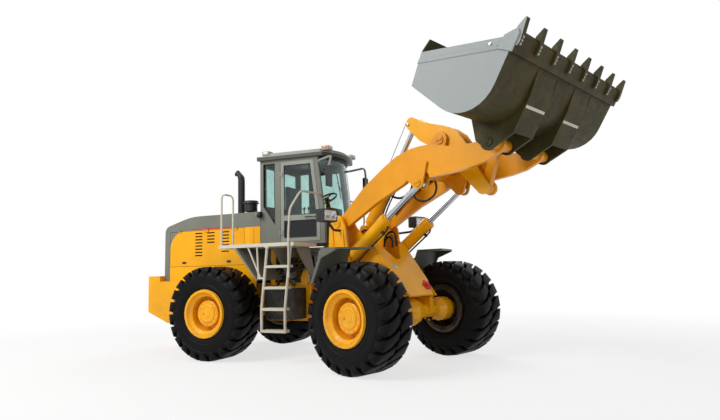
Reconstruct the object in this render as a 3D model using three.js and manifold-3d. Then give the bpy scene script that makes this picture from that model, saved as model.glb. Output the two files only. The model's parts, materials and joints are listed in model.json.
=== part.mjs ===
// Articulated wheel loader, millimetres, +Z up, +X forward, +Y to the machine's left.
// Rear and front frames meet at a vertical hinge. The front frame carries a Z-bar loader linkage.
import * as THREE from 'three';
import { mergeVertices } from 'three/addons/utils/BufferGeometryUtils.js';
import Module from 'manifold-3d';

const wasm = await Module();
wasm.setup();

// ---------------------------------------------------------------- driving dimensions
// Pose in which the machine is parked.
const STEER_REST = -19;
const BOOM_REST = 15.7;
const BUCKET_REST = 42.8;

// Fits.
const GAP = 0.3;
const KNUCKLE = 12;
const KNUCKLE_SET = 4;

// Chassis and wheels.
const WHEELBASE = 3340;
const TRACK = 2260;
const TYRE_RADIUS = 772;
const TYRE_WIDTH = 590;
const BEAD_RADIUS = 338;
const FLANGE_RADIUS = 390;
const FLANGE_THICKNESS = 45;
const HUB_RADIUS = 213;
const HUB_RECESS = 112;
const SPINDLE_RADIUS = 130;
const BRAKE_RADIUS = 190;
const AXLE_TUBE_RADIUS = 112;
const DIFFERENTIAL_RADIUS = 222;

// Rear frame.
const FRAME_HALF_WIDTH = 400;
const FRAME_PLATE = 32;
const FRAME_TOP = 1240;
const FRAME_BOTTOM = 590;
const AXLE_SEAT_RISE = 268;
const REAR_OVERHANG = 1480;
const HINGE_UPPER_Z = 1150;
const HINGE_LOWER_Z = 640;
const HINGE_EAR = 60;
const HINGE_EAR_RADIUS = 120;
const HINGE_EAR_GAP = 8;

// Counterweight.
const WEIGHT_HALF_WIDTH = 760;
const WEIGHT_TOP = 1400;
const WEIGHT_BOTTOM = 540;
const WEIGHT_LENGTH = 1130;
const WEIGHT_CHAMFER = 150;
const WEIGHT_REACH = 540;

// Hood.
const HOOD_HALF_WIDTH = 640;
const HOOD_TOP = 2485;
const HOOD_BOTTOM = 1300;
const SKIRT_BOTTOM = 1120;
const SKIRT_X = [-2450, -1180];
const HOOD_LENGTH = 2170;
const HOOD_SHEET = 26;
const HOOD_TAIL_DROP = 175;
const PANEL_TOP = 2215;
const PANEL_SIDE_MARGIN = 130;
const GRILLE_MARGIN = 150;
const LOUVRE_X = [680, 960, 1285];
const EXHAUST_AT = [-1870, -140];
const EXHAUST_RADIUS = 65;
const EXHAUST_BEND = [100, 60];
const EXHAUST_TOP = 3320;
const INTAKE_AT = [-1620, -180];

// Platforms and ladders.
const PLATFORM_TOP = 1880;
const PLATFORM_THICKNESS = 55;
const PLATFORM_OUTER = 1370;
const PLATFORM_REAR = -1400;
const PLATFORM_FRONT = 30;
const PANEL_TO_PLATFORM = 30;
const MUDGUARD_X = [-1110, -1060];
const RAIL_TOP = 2730;
const RAIL_INSET = 30;
const REAR_RAIL_WIDTH = 300;
const FENDER_SHEET = 25;
const FENDER_RISE = 204;
// How far back and up the fender's foot lies from the axle, and its slope's run, in tyre radii.
const FENDER_FOOT = [0.868, 0.619];
const FENDER_SLOPE = 0.2915;
const FENDER_FRONT = 60;
const FENDER_CORNER = 210;
const LADDER_WIDTH = 430;
const LADDER_TUBE = 22;
const LADDER_FOOT_Z = 495;
const LADDER_KNEE_Z = 850;
const RUNG_HEIGHT = 40;
const RUNG_DEPTH = 150;
const RAIL_RADIUS = 17;

// Cab.
const CAB_REAR_X = -1090;
const CAB_REAR_HALF = 640;
const CAB_FRONT_HALF = 545;
const CAB_FLOOR_Z = 1890;
const CAB_EAVES_Z = 3370;
const CAB_WALL = 55;
const CAB_FRONT_TOP_X = 10;
const CAB_LEAN = 120;
const SCREEN_BULGE = 210;
const ROOF_THICKNESS = 130;
const ROOF_OVERHANG = 60;
const DOOR_REAR_X = -690;
const DOOR_GAP = 6;
const DOOR_FRAME = 62;
const SASH_Z = 2340;
const SASH_HEIGHT = 90;
const PILLAR_WIDTH = 85;

// Front frame.
const TOWER_OUTER_Y = 650;
const TOWER_INNER_Y = 408;
const TOWER_PLATE = 30;
const NOSE_HALF_WIDTH = 385;
const FRONT_SEAT_RISE = 213;

// Steering cylinders.
const STEER_INSET = 135;
const STEER_BASE = [-700, FRAME_HALF_WIDTH - STEER_INSET];
const STEER_EYE_AT = [150, FRAME_HALF_WIDTH - STEER_INSET];
const STEER_Z = 895;
const STEER_EYE = 45;
const STEER_EYE_HALF = 28;
const STEER_BARREL_RADIUS = 48;
const STEER_BARREL_LENGTH = 560;
const STEER_ROD_RADIUS = 25;
const STEER_ROD_LENGTH = 555;

// Loader linkage: pins in the front frame's XZ plane, and lengths along the links.
const BOOM_PIVOT = [790, 2170];
const BOOM_LENGTH = 2930;
const ARM_Y = 520;
const ARM_THICKNESS = 80;
const LIFT_BASE = [700, 1450];
const LIFT_PIN = [1640, 12];
const LIFT_BARREL_RADIUS = 95;
const LIFT_ROD_RADIUS = 42;
const LIFT_BARREL_LENGTH = 1235;
const LIFT_ROD_LENGTH = 1200;
const LIFT_EYE = 72;
const LIFT_LUG_Y = [46, 76];
const LIFT_NOTCH = 198;
const ROCKER_PIVOT = [1924, 616];
const ROCKER_TOP_ARM = 671;
const ROCKER_TOP_ANGLE = 131.2;
const ROCKER_BOTTOM_ARM = 1005;
const ROCKER_BOTTOM_ANGLE = -66.1;
const ROCKER_HALF_GAP = 78;
const ROCKER_PLATE = 45;
const TILT_BASE = [860, 2075];
const TILT_BARREL_RADIUS = 108;
const TILT_ROD_RADIUS = 45;
const TILT_BARREL_LENGTH = 1150;
const TILT_ROD_LENGTH = 1100;
const TILT_EYE = 78;
const TILT_LUG_Y = [95, 130];
const BUCKET_LINK_PIN = [-99, 315];
const LINK_HALF = 78;
const BUCKET_EAR = 40;
const BOOM_EYE_RADIUS = 90;
const TIP_EYE_RADIUS = 80;

// Bucket, in its own frame: origin at its hinge pin, floor level, lip towards +X.
const BUCKET_HALF_WIDTH = 1476;
const BUCKET_PLATE = 28;
const BUCKET_FLOOR_DROP = 231;
const BUCKET_LIP_X = 1251;
const BUCKET_HEEL_X = 643;
const BUCKET_HEEL_RADIUS = 475;
const BUCKET_BACK_ANGLE = 79.7;
const BUCKET_BACK_LENGTH = 553;
const BUCKET_TOP_REACH = 418;
const BUCKET_TOP_RISE = 7.6;
const SPILL_GUARD = 178;
const EDGE_DEPTH = 240;
const EDGE_THICKNESS = 40;
const FLOOR_STEP = 45;
const TOOTH_COUNT = 8;
const TOOTH_REACH = 140;
const RIB_WIDTH = 500;
const RIB_CENTRE = 510;
const RIB_DROP = 40;

const REAR_AXLE_X = -WHEELBASE / 2;
const FRONT_AXLE_X = WHEELBASE / 2;
const AXLE_Z = TYRE_RADIUS;

// ---------------------------------------------------------------- finishes
const finish = (color, roughness, metalness) =>
  new THREE.MeshStandardMaterial({ color, roughness, metalness, flatShading: true });
const YELLOW = finish('#f5a913', 0.45, 0);
const GREY = finish('#7d7d72', 0.5, 0);
const RUBBER = finish('#1d1e1d', 0.9, 0);
const STEEL = finish('#b4b4ac', 0.4, 0.8);
const CHROME = finish('#c8ccd0', 0.15, 1);
const BLACK = finish('#1b1b1b', 0.6, 0);
const BUCKET_OLIVE = finish('#57503a', 0.6, 0.2);
const VINYL = finish('#26282a', 0.8, 0);
const LAMP = finish('#e8e4d8', 0.3, 0);
const ROOF_GREY = finish('#9a9a90', 0.5, 0);

// ---------------------------------------------------------------- shape helpers
const rad = THREE.MathUtils.degToRad;

function toManifold(geometry) {
  const bare = new THREE.BufferGeometry();
  bare.setAttribute('position', geometry.attributes.position.clone());
  if (geometry.index) bare.setIndex(geometry.index.clone());
  const merged = mergeVertices(bare, 1e-3);
  const xyz = merged.attributes.position.array;
  const index = Uint32Array.from(merged.index.array);
  const a = new THREE.Vector3();
  const b = new THREE.Vector3();
  const c = new THREE.Vector3();
  let volume = 0;
  for (let i = 0; i < index.length; i += 3) {
    a.fromArray(xyz, 3 * index[i]);
    b.fromArray(xyz, 3 * index[i + 1]);
    c.fromArray(xyz, 3 * index[i + 2]);
    volume += a.dot(b.cross(c));
  }
  if (volume < 0) {
    for (let i = 0; i < index.length; i += 3) [index[i], index[i + 1]] = [index[i + 1], index[i]];
  }
  return new wasm.Manifold(
    new wasm.Mesh({ numProp: 3, vertProperties: Float32Array.from(xyz), triVerts: index }));
}

function toGeometry(manifold) {
  const mesh = manifold.getMesh();
  const geometry = new THREE.BufferGeometry();
  geometry.setAttribute('position', new THREE.BufferAttribute(mesh.vertProperties.slice(), 3));
  geometry.setIndex(new THREE.BufferAttribute(mesh.triVerts.slice(), 1));
  return geometry;
}

// One closed solid out of several that meet or overlap.
function join(...pieces) {
  return toGeometry(pieces.flat().map(toManifold).reduce((whole, piece) => whole.add(piece)));
}

// The first solid less all the others.
function cut(base, ...tools) {
  return toGeometry(tools.flat().map(toManifold)
    .reduce((whole, tool) => whole.subtract(tool), toManifold(base)));
}

function box([x0, x1], [y0, y1], [z0, z1]) {
  return new THREE.BoxGeometry(x1 - x0, y1 - y0, z1 - z0)
    .translate((x0 + x1) / 2, (y0 + y1) / 2, (z0 + z1) / 2);
}

// Round bar between two points.
function bar(from, to, radius, sides = 12, endRadius = radius) {
  const a = new THREE.Vector3(...from);
  const b = new THREE.Vector3(...to);
  const along = b.clone().sub(a);
  const turn = new THREE.Quaternion()
    .setFromUnitVectors(new THREE.Vector3(0, 1, 0), along.clone().normalize());
  return new THREE.CylinderGeometry(endRadius, radius, along.length(), sides)
    .applyQuaternion(turn)
    .translate(...a.add(b).multiplyScalar(0.5).toArray());
}

// Disc or boss on an axis across the machine.
function boss([x, z], [y0, y1], radius, sides = 20) {
  return bar([x, y0, z], [x, y1, z], radius, sides);
}

function outline(points) {
  return new THREE.Shape(points.map(([x, y]) => new THREE.Vector2(x, y)));
}

// Plate with its outline in the XZ plane, from y0 to y1.
function sidePlate(points, [y0, y1]) {
  return new THREE.ExtrudeGeometry(outline(points), { depth: y1 - y0, bevelEnabled: false })
    .rotateX(Math.PI / 2)
    .translate(0, y1, 0);
}

// Plate with its outline in the XY plane, from z0 to z1.
function flatPlate(points, [z0, z1]) {
  return new THREE.ExtrudeGeometry(outline(points), { depth: z1 - z0, bevelEnabled: false })
    .translate(0, 0, z0);
}

// Plate with its outline in the YZ plane, from x0 to x1.
function crossPlate(points, [x0, x1]) {
  return new THREE.ExtrudeGeometry(outline(points), { depth: x1 - x0, bevelEnabled: false })
    .rotateX(Math.PI / 2)
    .rotateZ(Math.PI / 2)
    .translate(x0, 0, 0);
}

// Turned piece about the Y axis: profile points are [radius, y].
function turned(profile, sides = 32) {
  return new THREE.LatheGeometry(profile.map(([r, y]) => new THREE.Vector2(r, y)), sides);
}

// Points on a circle in a plane, from one angle to another.
function arc([x, y], radius, from, to, steps = 6) {
  return Array.from({ length: steps + 1 }, (_, i) => {
    const angle = rad(from + ((to - from) * i) / steps);
    return [x + radius * Math.cos(angle), y + radius * Math.sin(angle)];
  });
}

// The same outline with each corner rounded, where the radius of that corner isn't zero.
function roundedOutline(points, radii, steps = 3) {
  const n = points.length;
  return points.flatMap((point, i) => {
    const radius = Array.isArray(radii) ? radii[i] : radii;
    if (!radius) return [point];
    const here = new THREE.Vector2(...point);
    const back = new THREE.Vector2(...points[(i + n - 1) % n]).sub(here).normalize();
    const on = new THREE.Vector2(...points[(i + 1) % n]).sub(here).normalize();
    const curve = new THREE.QuadraticBezierCurve(
      here.clone().addScaledVector(back, radius), here, here.clone().addScaledVector(on, radius));
    return curve.getPoints(steps).map((p) => [p.x, p.y]);
  });
}

// A route of straight runs whose section planes halve each bend.
class Route extends THREE.Curve {
  constructor(points) {
    super();
    this.stations = points.map((p) => new THREE.Vector3(...p));
  }

  getPoint(t, target = new THREE.Vector3()) {
    const last = this.stations.length - 1;
    const place = THREE.MathUtils.clamp(t, 0, 1) * last;
    const i = Math.min(Math.floor(place), last - 1);
    return target.lerpVectors(this.stations[i], this.stations[i + 1], place - i);
  }

  getPointAt(u, target) {
    return this.getPoint(u, target);
  }
}

// Bent tube along corner points, each inner corner rounded by the bend.
function tube(points, radius, bend = 60, sides = 8, steps = 3) {
  const corners = points.map((p) => new THREE.Vector3(...p));
  const stations = corners.flatMap((corner, i) => {
    if (i === 0 || i === corners.length - 1) return [corner];
    const back = corners[i - 1].clone().sub(corner).normalize();
    const on = corners[i + 1].clone().sub(corner).normalize();
    return new THREE.QuadraticBezierCurve3(
      corner.clone().addScaledVector(back, bend), corner,
      corner.clone().addScaledVector(on, bend)).getPoints(steps);
  });
  const section = new THREE.Shape(arc([0, 0], radius, 0, 360, sides).slice(0, sides)
    .map(([x, y]) => new THREE.Vector2(x, y)));
  return new THREE.ExtrudeGeometry(section, {
    steps: stations.length - 1,
    extrudePath: new Route(stations.map((p) => p.toArray())),
    bevelEnabled: false,
  });
}

const mirrored = (range) => [-range[1], -range[0]];
const bothSides = [['right', -1], ['left', 1]];
// A lateral range on one side: side is -1 for the machine's right, 1 for its left.
const onSide = (side, [inner, outer]) => (side < 0 ? mirrored([inner, outer]) : [inner, outer]);

function addPart(group, name, geometry, material) {
  geometry.computeVertexNormals();
  const mesh = new THREE.Mesh(geometry, material);
  mesh.name = name;
  group.add(mesh);
  return mesh;
}

// ---------------------------------------------------------------- wheels
const WHEEL_SIDES = 28;
const RIM_HALF = TYRE_WIDTH / 2 + 5;
const FLANGE_INNER = RIM_HALF - FLANGE_THICKNESS;

function tyre() {
  const half = TYRE_WIDTH / 2;
  const side = [
    [BEAD_RADIUS, FLANGE_INNER - GAP],
    [FLANGE_RADIUS + 12, FLANGE_INNER - GAP],
    [FLANGE_RADIUS + 30, half - 12],
    [0.74 * TYRE_RADIUS, half],
    [TYRE_RADIUS - 70, half - 12],
    [TYRE_RADIUS - 16, half - 45],
    [TYRE_RADIUS, half - 85],
  ];
  const otherSide = side.map(([r, y]) => [r, -y]).reverse();
  return join(turned([...side, ...otherSide, side[0]], WHEEL_SIDES));
}

function rim() {
  const seat = BEAD_RADIUS - GAP;
  const web = FLANGE_INNER - 195;
  const face = RIM_HALF - HUB_RECESS;
  return join(turned([
    [0, -80],
    [SPINDLE_RADIUS + 40, -80],
    [SPINDLE_RADIUS + 40, web - 30],
    [seat - 38, web - 30],
    [seat - 38, 10 - RIM_HALF],
    [FLANGE_RADIUS - 40, -RIM_HALF],
    [FLANGE_RADIUS, -RIM_HALF],
    [FLANGE_RADIUS, -FLANGE_INNER],
    [seat, -FLANGE_INNER],
    [seat, FLANGE_INNER],
    [FLANGE_RADIUS, FLANGE_INNER],
    [FLANGE_RADIUS, RIM_HALF],
    [FLANGE_RADIUS - 38, RIM_HALF],
    [seat - 8, RIM_HALF - 38],
    [seat - 52, RIM_HALF - 75],
    [seat - 52, web],
    [HUB_RADIUS, web],
    [HUB_RADIUS, face - 8],
    [HUB_RADIUS - 12, face],
    [0, face],
  ], WHEEL_SIDES));
}

function addWheel(group, name, x, side) {
  const wheel = new THREE.Group();
  wheel.position.set(x, (side * TRACK) / 2, AXLE_Z);
  if (side < 0) wheel.rotation.z = Math.PI;
  group.add(wheel);
  addPart(wheel, `${name}_tyre`, tyre(), RUBBER);
  addPart(wheel, `${name}_rim`, rim(), YELLOW);
}

// ---------------------------------------------------------------- axles
// Banjo housing with a brake drum and a spindle at each end, and a seat on top at each frame plate.
function axle(seatZ, seatY) {
  const end = TRACK / 2 - 80 - GAP;
  const half = [
    [SPINDLE_RADIUS, end],
    [SPINDLE_RADIUS, end - 150],
    [BRAKE_RADIUS, end - 150],
    [BRAKE_RADIUS, end - 320],
    [AXLE_TUBE_RADIUS, end - 400],
    [AXLE_TUBE_RADIUS, 260],
    [150, 190],
    [0.86 * DIFFERENTIAL_RADIUS, 110],
    [DIFFERENTIAL_RADIUS, 0],
  ];
  const other = half.slice(0, -1).map(([r, y]) => [r, -y]).reverse();
  const housing = turned([[0, end], ...half, ...other, [0, -end]], 16);
  const seats = bothSides.map(([, side]) =>
    box([-130, 130], onSide(side, seatY), [0, seatZ - AXLE_Z - GAP]));
  return join(housing, ...seats);
}

// ---------------------------------------------------------------- steering cylinder lugs
// A pair of flat lugs over and under a steering cylinder's eye, from the root points outwards.
function steeringLugs([eyeX, eyeY], side, root) {
  const centre = new THREE.Vector2(eyeX, eyeY);
  const middle = new THREE.Vector2((root[0][0] + root[1][0]) / 2, (root[0][1] + root[1][1]) / 2);
  const away = THREE.MathUtils.radToDeg(centre.clone().sub(middle).angle());
  const points = [...root, ...arc([eyeX, eyeY], STEER_EYE + 8, away - 80, away + 80, 5)];
  const hull = points.map(([x, y]) => [x, side * y]);
  return [1, -1].map((way) => {
    const z = [STEER_Z + way * STEER_EYE_HALF, STEER_Z + way * (STEER_EYE_HALF + 26)];
    return flatPlate(hull, [Math.min(...z), Math.max(...z)]);
  });
}

// ---------------------------------------------------------------- rear frame and its load
const FRAME_REAR_X = REAR_AXLE_X - REAR_OVERHANG;
const PLATE_Y = [FRAME_HALF_WIDTH - FRAME_PLATE, FRAME_HALF_WIDTH];
const AXLE_SEAT_Z = AXLE_Z + AXLE_SEAT_RISE;

// Rear hinge ears: a pair at each height, with the front frame's ear between each pair.
const HINGE_REACH = 260;
const STEER_WINDOW = [780, 1010];

function hingeEar(z0, z1, towards) {
  const eye = new THREE.CylinderGeometry(HINGE_EAR_RADIUS, HINGE_EAR_RADIUS, z1 - z0, 20)
    .rotateX(Math.PI / 2)
    .translate(0, 0, (z0 + z1) / 2);
  const arm = flatPlate([
    [0, HINGE_EAR_RADIUS],
    [towards * HINGE_REACH, FRAME_HALF_WIDTH - 60],
    [towards * HINGE_REACH, 60 - FRAME_HALF_WIDTH],
    [0, -HINGE_EAR_RADIUS],
  ], [z0, z1]);
  return join(eye, arm);
}

function rearFrame() {
  const nearHinge = -HINGE_REACH + 30;
  const archFront = REAR_AXLE_X + 360;
  const archRear = REAR_AXLE_X - 360;
  const profile = [
    [nearHinge, FRAME_TOP],
    [FRAME_REAR_X, FRAME_TOP],
    [FRAME_REAR_X, FRAME_TOP - 420],
    [archRear - 80, FRAME_TOP - 420],
    [archRear, AXLE_SEAT_Z],
    [archFront, AXLE_SEAT_Z],
    [archFront + 180, FRAME_BOTTOM],
    [nearHinge, FRAME_BOTTOM],
  ];
  const plates = bothSides.map(([, side]) => sidePlate(profile, onSide(side, PLATE_Y)));
  const span = [-PLATE_Y[1] + 2, PLATE_Y[1] - 2];
  const cross = [
    box([nearHinge - 30, nearHinge], span, [FRAME_BOTTOM, FRAME_TOP]),
    box([archFront - 20, archFront + 120], span, [FRAME_TOP - 160, FRAME_TOP]),
    box([archRear - 120, archRear + 20], span, [FRAME_TOP - 160, FRAME_TOP]),
    box([FRAME_REAR_X, FRAME_REAR_X + 40], span, [FRAME_TOP - 420, FRAME_TOP]),
  ];
  const frontEar = HINGE_EAR;
  const step = frontEar / 2 + HINGE_EAR_GAP;
  const ears = [HINGE_UPPER_Z, HINGE_LOWER_Z].flatMap((z) => [
    hingeEar(z + step, z + step + HINGE_EAR / 2, -1),
    hingeEar(z - step - HINGE_EAR / 2, z - step, -1),
  ]);
  const windows = bothSides.map(([, side]) =>
    box([nearHinge - 40, nearHinge + 10], onSide(side, [STEER_BASE[1] - 150, PLATE_Y[0] - 2]), STEER_WINDOW));
  const lugs = bothSides.flatMap(([, side]) =>
    steeringLugs(STEER_BASE, side, [
      [STEER_BASE[0] + 70, PLATE_Y[0] + 5], [STEER_BASE[0] - 70, PLATE_Y[0] + 5],
    ]));
  return join(cut(join(...plates, ...cross), ...windows), ...lugs, ...ears, ...cabMounts());
}

// Four posts that carry the cab floor on the frame.
function cabMounts() {
  return bothSides.flatMap(([, side]) => [CAB_REAR_X + 150, -330].map((x) =>
    box([x - 60, x + 60], onSide(side, [PLATE_Y[0], PLATE_Y[1] + 60]),
      [FRAME_TOP - 40, CAB_FLOOR_Z - GAP])));
}

function engine() {
  return box([REAR_AXLE_X - 1000, REAR_AXLE_X + 420], [-330, 330], [FRAME_TOP + GAP, 2120]);
}

function transmission() {
  return box([REAR_AXLE_X + 480 + GAP, -790], [GAP - PLATE_Y[0], PLATE_Y[0] - GAP],
    [FRAME_BOTTOM + 60, HOOD_BOTTOM - 15]);
}

function counterweight() {
  const rear = FRAME_REAR_X - WEIGHT_REACH;
  const front = rear + WEIGHT_LENGTH;
  const half = WEIGHT_HALF_WIDTH;
  const body = flatPlate([
    [front, -half],
    [front, half],
    [rear + WEIGHT_CHAMFER, half],
    [rear, half - 0.9 * WEIGHT_CHAMFER],
    [rear, 0.9 * WEIGHT_CHAMFER - half],
    [rear + WEIGHT_CHAMFER, -half],
  ], [WEIGHT_BOTTOM, WEIGHT_TOP]);
  const under = sidePlate([
    [rear - 10, WEIGHT_BOTTOM - 10],
    [front - 480, WEIGHT_BOTTOM - 10],
    [rear + 90, WEIGHT_BOTTOM + 220],
    [rear - 10, WEIGHT_BOTTOM + 320],
  ], [-half - 10, half + 10]);
  const hoodSeat = box([HOOD_REAR_X - GAP, front + 10], [-half - 10, half + 10],
    [HOOD_BOTTOM - GAP, WEIGHT_TOP + 10]);
  const frameSlot = box([FRAME_REAR_X - 20, front + 10],
    [-FRAME_HALF_WIDTH - GAP, FRAME_HALF_WIDTH + GAP], [FRAME_TOP - 420 - GAP, WEIGHT_TOP]);
  return cut(body, under, hoodSeat, frameSlot);
}

// ---------------------------------------------------------------- hood
const HOOD_FRONT_X = CAB_REAR_X - 8;
const HOOD_REAR_X = HOOD_FRONT_X - HOOD_LENGTH;
const HOOD_INNER = HOOD_HALF_WIDTH - HOOD_SHEET;
const PANEL_X = [HOOD_REAR_X + PANEL_SIDE_MARGIN, PLATFORM_REAR - PANEL_TO_PLATFORM];
const PANEL_BOTTOM = 2 * TYRE_RADIUS + 26;
const PANEL_HINGE_Z = PANEL_TOP + DOOR_GAP + KNUCKLE_SET;
const GRILLE_Z = [HOOD_BOTTOM + 170, HOOD_TOP - HOOD_TAIL_DROP - 190];

function hoodSide(grow = 0) {
  return roundedOutline([
    [HOOD_FRONT_X - grow, HOOD_BOTTOM - grow],
    [HOOD_FRONT_X - grow, HOOD_TOP - grow],
    [HOOD_REAR_X + 640, HOOD_TOP - grow],
    [HOOD_REAR_X + grow, HOOD_TOP - HOOD_TAIL_DROP - grow],
    [HOOD_REAR_X + grow, HOOD_BOTTOM - grow],
  ], [0, 0, 180, 110, 0]);
}

function hoodShell() {
  const outer = sidePlate(hoodSide(), [-HOOD_HALF_WIDTH, HOOD_HALF_WIDTH]);
  const room = join(
    sidePlate(hoodSide(HOOD_SHEET), [-HOOD_INNER, HOOD_INNER]),
    box([HOOD_REAR_X + HOOD_SHEET, HOOD_FRONT_X - HOOD_SHEET], [-HOOD_INNER, HOOD_INNER],
      [HOOD_BOTTOM - 10, HOOD_BOTTOM + 10]));
  const panelHoles = bothSides.map(([, side]) =>
    box([PANEL_X[0] - DOOR_GAP, PANEL_X[1] + DOOR_GAP],
      onSide(side, [HOOD_INNER - 5, HOOD_HALF_WIDTH + 5]),
      [PANEL_BOTTOM - DOOR_GAP, PANEL_TOP + DOOR_GAP]));
  const grilleHole = box([HOOD_REAR_X - 5, HOOD_REAR_X + HOOD_SHEET + 5],
    [GRILLE_MARGIN - HOOD_HALF_WIDTH, HOOD_HALF_WIDTH - GRILLE_MARGIN],
    GRILLE_Z);
  const skirts = bothSides.map(([, side]) =>
    box(SKIRT_X, onSide(side, [HOOD_INNER, HOOD_HALF_WIDTH]), [SKIRT_BOTTOM, HOOD_BOTTOM + 20]));
  return join(cut(outer, room, ...panelHoles, grilleHole), ...skirts);
}

// Top-hinged engine cover with three columns of louvre slots.
function enginePanel(side) {
  const leaf = box(PANEL_X, onSide(side, [HOOD_HALF_WIDTH - HOOD_SHEET + 2, HOOD_HALF_WIDTH]),
    [PANEL_BOTTOM, PANEL_TOP]);
  const slots = [[LOUVRE_X[0], 8], [LOUVRE_X[1], 4], [LOUVRE_X[2], 7]].flatMap(([back, count]) => {
    const x = PANEL_X[0] + back;
    return Array.from({ length: count }, (_, i) =>
      box([x - 85, x + 85], onSide(side, [HOOD_HALF_WIDTH - 30, HOOD_HALF_WIDTH + 6]),
        [PANEL_TOP - 60 - 58 * i, PANEL_TOP - 36 - 58 * i]));
  });
  const knuckles = [0.12, 0.5, 0.88].map((share) => {
    const x = PANEL_X[0] + share * (PANEL_X[1] - PANEL_X[0]);
    const y = side * (HOOD_HALF_WIDTH + KNUCKLE + GAP);
    return join(
      bar([x - 60, y, PANEL_HINGE_Z], [x + 60, y, PANEL_HINGE_Z], KNUCKLE, 20),
      box([x - 55, x + 55], onSide(side, [HOOD_HALF_WIDTH - 5, HOOD_HALF_WIDTH + KNUCKLE]),
        [PANEL_TOP - 30, PANEL_TOP - 1]));
  });
  return join(cut(leaf, ...slots), ...knuckles);
}

// Rear radiator door of upright bars in a frame, hinged on its left edge.
function radiatorDoor() {
  const y = HOOD_HALF_WIDTH - GRILLE_MARGIN - DOOR_GAP;
  const z = [GRILLE_Z[0] + DOOR_GAP, GRILLE_Z[1] - DOOR_GAP];
  const leaf = box([HOOD_REAR_X, HOOD_REAR_X + 22], [-y, y], z);
  const openings = Array.from({ length: 3 }, (_, i) => {
    const left = -y + 50 + (i * (2 * y - 60)) / 3;
    return box([HOOD_REAR_X - 5, HOOD_REAR_X + 30], [left, left + (2 * y - 60) / 3 - 40],
      [z[0] + 50, z[1] - 50]);
  });
  const knuckles = [z[0] + 90, z[1] - 90].map((height) => join(
    bar([HOOD_REAR_X - KNUCKLE - GAP, y + DOOR_GAP + KNUCKLE_SET, height - 50],
      [HOOD_REAR_X - KNUCKLE - GAP, y + DOOR_GAP + KNUCKLE_SET, height + 50], KNUCKLE, 20),
    box([HOOD_REAR_X - KNUCKLE, HOOD_REAR_X + 5], [y - 40, y - 1], [height - 45, height + 45])));
  return join(cut(leaf, ...openings), ...knuckles);
}

// ---------------------------------------------------------------- platforms, ladders, rails
const PLATFORM_INNER = HOOD_HALF_WIDTH + 12;

function platform(side) {
  const y = onSide(side, [PLATFORM_INNER, PLATFORM_OUTER]);
  const deck = box([PLATFORM_REAR, PLATFORM_FRONT], y, [PLATFORM_TOP - PLATFORM_THICKNESS, PLATFORM_TOP]);
  const under = PLATFORM_TOP - PLATFORM_THICKNESS;
  // Mudguard in front of the rear wheel, from the deck down and forwards.
  const guard = sidePlate([
    [MUDGUARD_X[0], under + 10],
    [MUDGUARD_X[1], under + 10],
    [-640, 1300],
    [-662, 1300],
  ], y);
  // Brackets that carry the deck on the frame.
  const brackets = [-560, -120].map((x) => sideBracket(x, side, under));
  return join(deck, guard, ...brackets, rearHandrail(side));
}

function sideBracket(x, side, top) {
  const points = [
    [side * (FRAME_HALF_WIDTH + GAP), FRAME_TOP - 60],
    [side * (FRAME_HALF_WIDTH + 40), FRAME_TOP - 60],
    [side * 1000, top - 60],
    [side * 1000, top + 10],
    [side * (PLATFORM_INNER + 20), top + 10],
    [side * (FRAME_HALF_WIDTH + GAP), FRAME_TOP - 20],
  ];
  return crossPlate(points, [x - 18, x + 18]);
}

// Tank that fills the space between the deck brackets, under the deck.
function sideTank(side) {
  return box([-895, -330], onSide(side, [FRAME_HALF_WIDTH + GAP, 800]), [640, 1150]);
}

function ladder(side) {
  const outer = PLATFORM_OUTER - 2;
  const y = side * (outer - LADDER_TUBE);
  const top = PLATFORM_TOP - PLATFORM_THICKNESS - GAP;
  const front = -40;
  const rails = [front, front - LADDER_WIDTH].flatMap((x) => [
    tube([[x, y, top - 12], [x - 110, y, LADDER_KNEE_Z], [x - 110, y, LADDER_FOOT_Z]], LADDER_TUBE, 40),
    box([x - 40, x + 40], onSide(side, [outer - 60, outer]), [top - 16, top]),
  ]);
  const rungX = (z) => front - 110 * THREE.MathUtils.clamp(
    (PLATFORM_TOP - z) / (PLATFORM_TOP - LADDER_KNEE_Z), 0, 1);
  const rungs = [1510, 1180, LADDER_KNEE_Z, LADDER_FOOT_Z + 20].map((z) => {
    const x = rungX(z);
    return box([x - LADDER_WIDTH, x], onSide(side, [outer - RUNG_DEPTH, outer - 4]),
      [z - RUNG_HEIGHT / 2, z + RUNG_HEIGHT / 2]);
  });
  return join(...rails, ...rungs);
}

// Rail from beside the ladder, up past the deck's edge and in to the cab's front pillar.
function frontHandrail(side) {
  const y = side * (PLATFORM_OUTER + RAIL_RADIUS + GAP);
  const topZ = 2715;
  const end = [cabFrontX(topZ) - 40, side * (CAB_FRONT_HALF - 30), topZ];
  return cut(tube([
    [-51, y, 1333],
    [-51, y, 2000],
    [-21, y, 2395],
    [60, side * 1200, 2690],
    end,
  ], RAIL_RADIUS, 70), beyondCabSide(side));
}

function rearHandrail(side) {
  const x = PLATFORM_REAR + RAIL_INSET;
  const outer = side * (PLATFORM_OUTER - RAIL_INSET);
  const inner = outer - side * REAR_RAIL_WIDTH;
  const foot = PLATFORM_TOP - 10;
  return tube([[x, outer, foot], [x, outer, RAIL_TOP], [x, inner, RAIL_TOP], [x, inner, foot]],
    RAIL_RADIUS, 90);
}

// ---------------------------------------------------------------- cab
// The cab narrows towards the front, so each side is made square in its own frame, with its
// rear corner at the origin, and is then turned in.
const CAB_SIDE_RUN = CAB_FRONT_TOP_X + CAB_LEAN - CAB_REAR_X;
const CAB_TAPER = Math.atan2(CAB_REAR_HALF - CAB_FRONT_HALF, CAB_SIDE_RUN);

// Front edge of the cab side at a height: it leans back towards the roof.
const cabFrontX = (z) =>
  CAB_FRONT_TOP_X + CAB_LEAN * Math.min(1, (CAB_EAVES_Z - z) / (CAB_EAVES_Z - SASH_Z));
const alongSide = (x) => (x - CAB_REAR_X) / Math.cos(CAB_TAPER);

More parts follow.
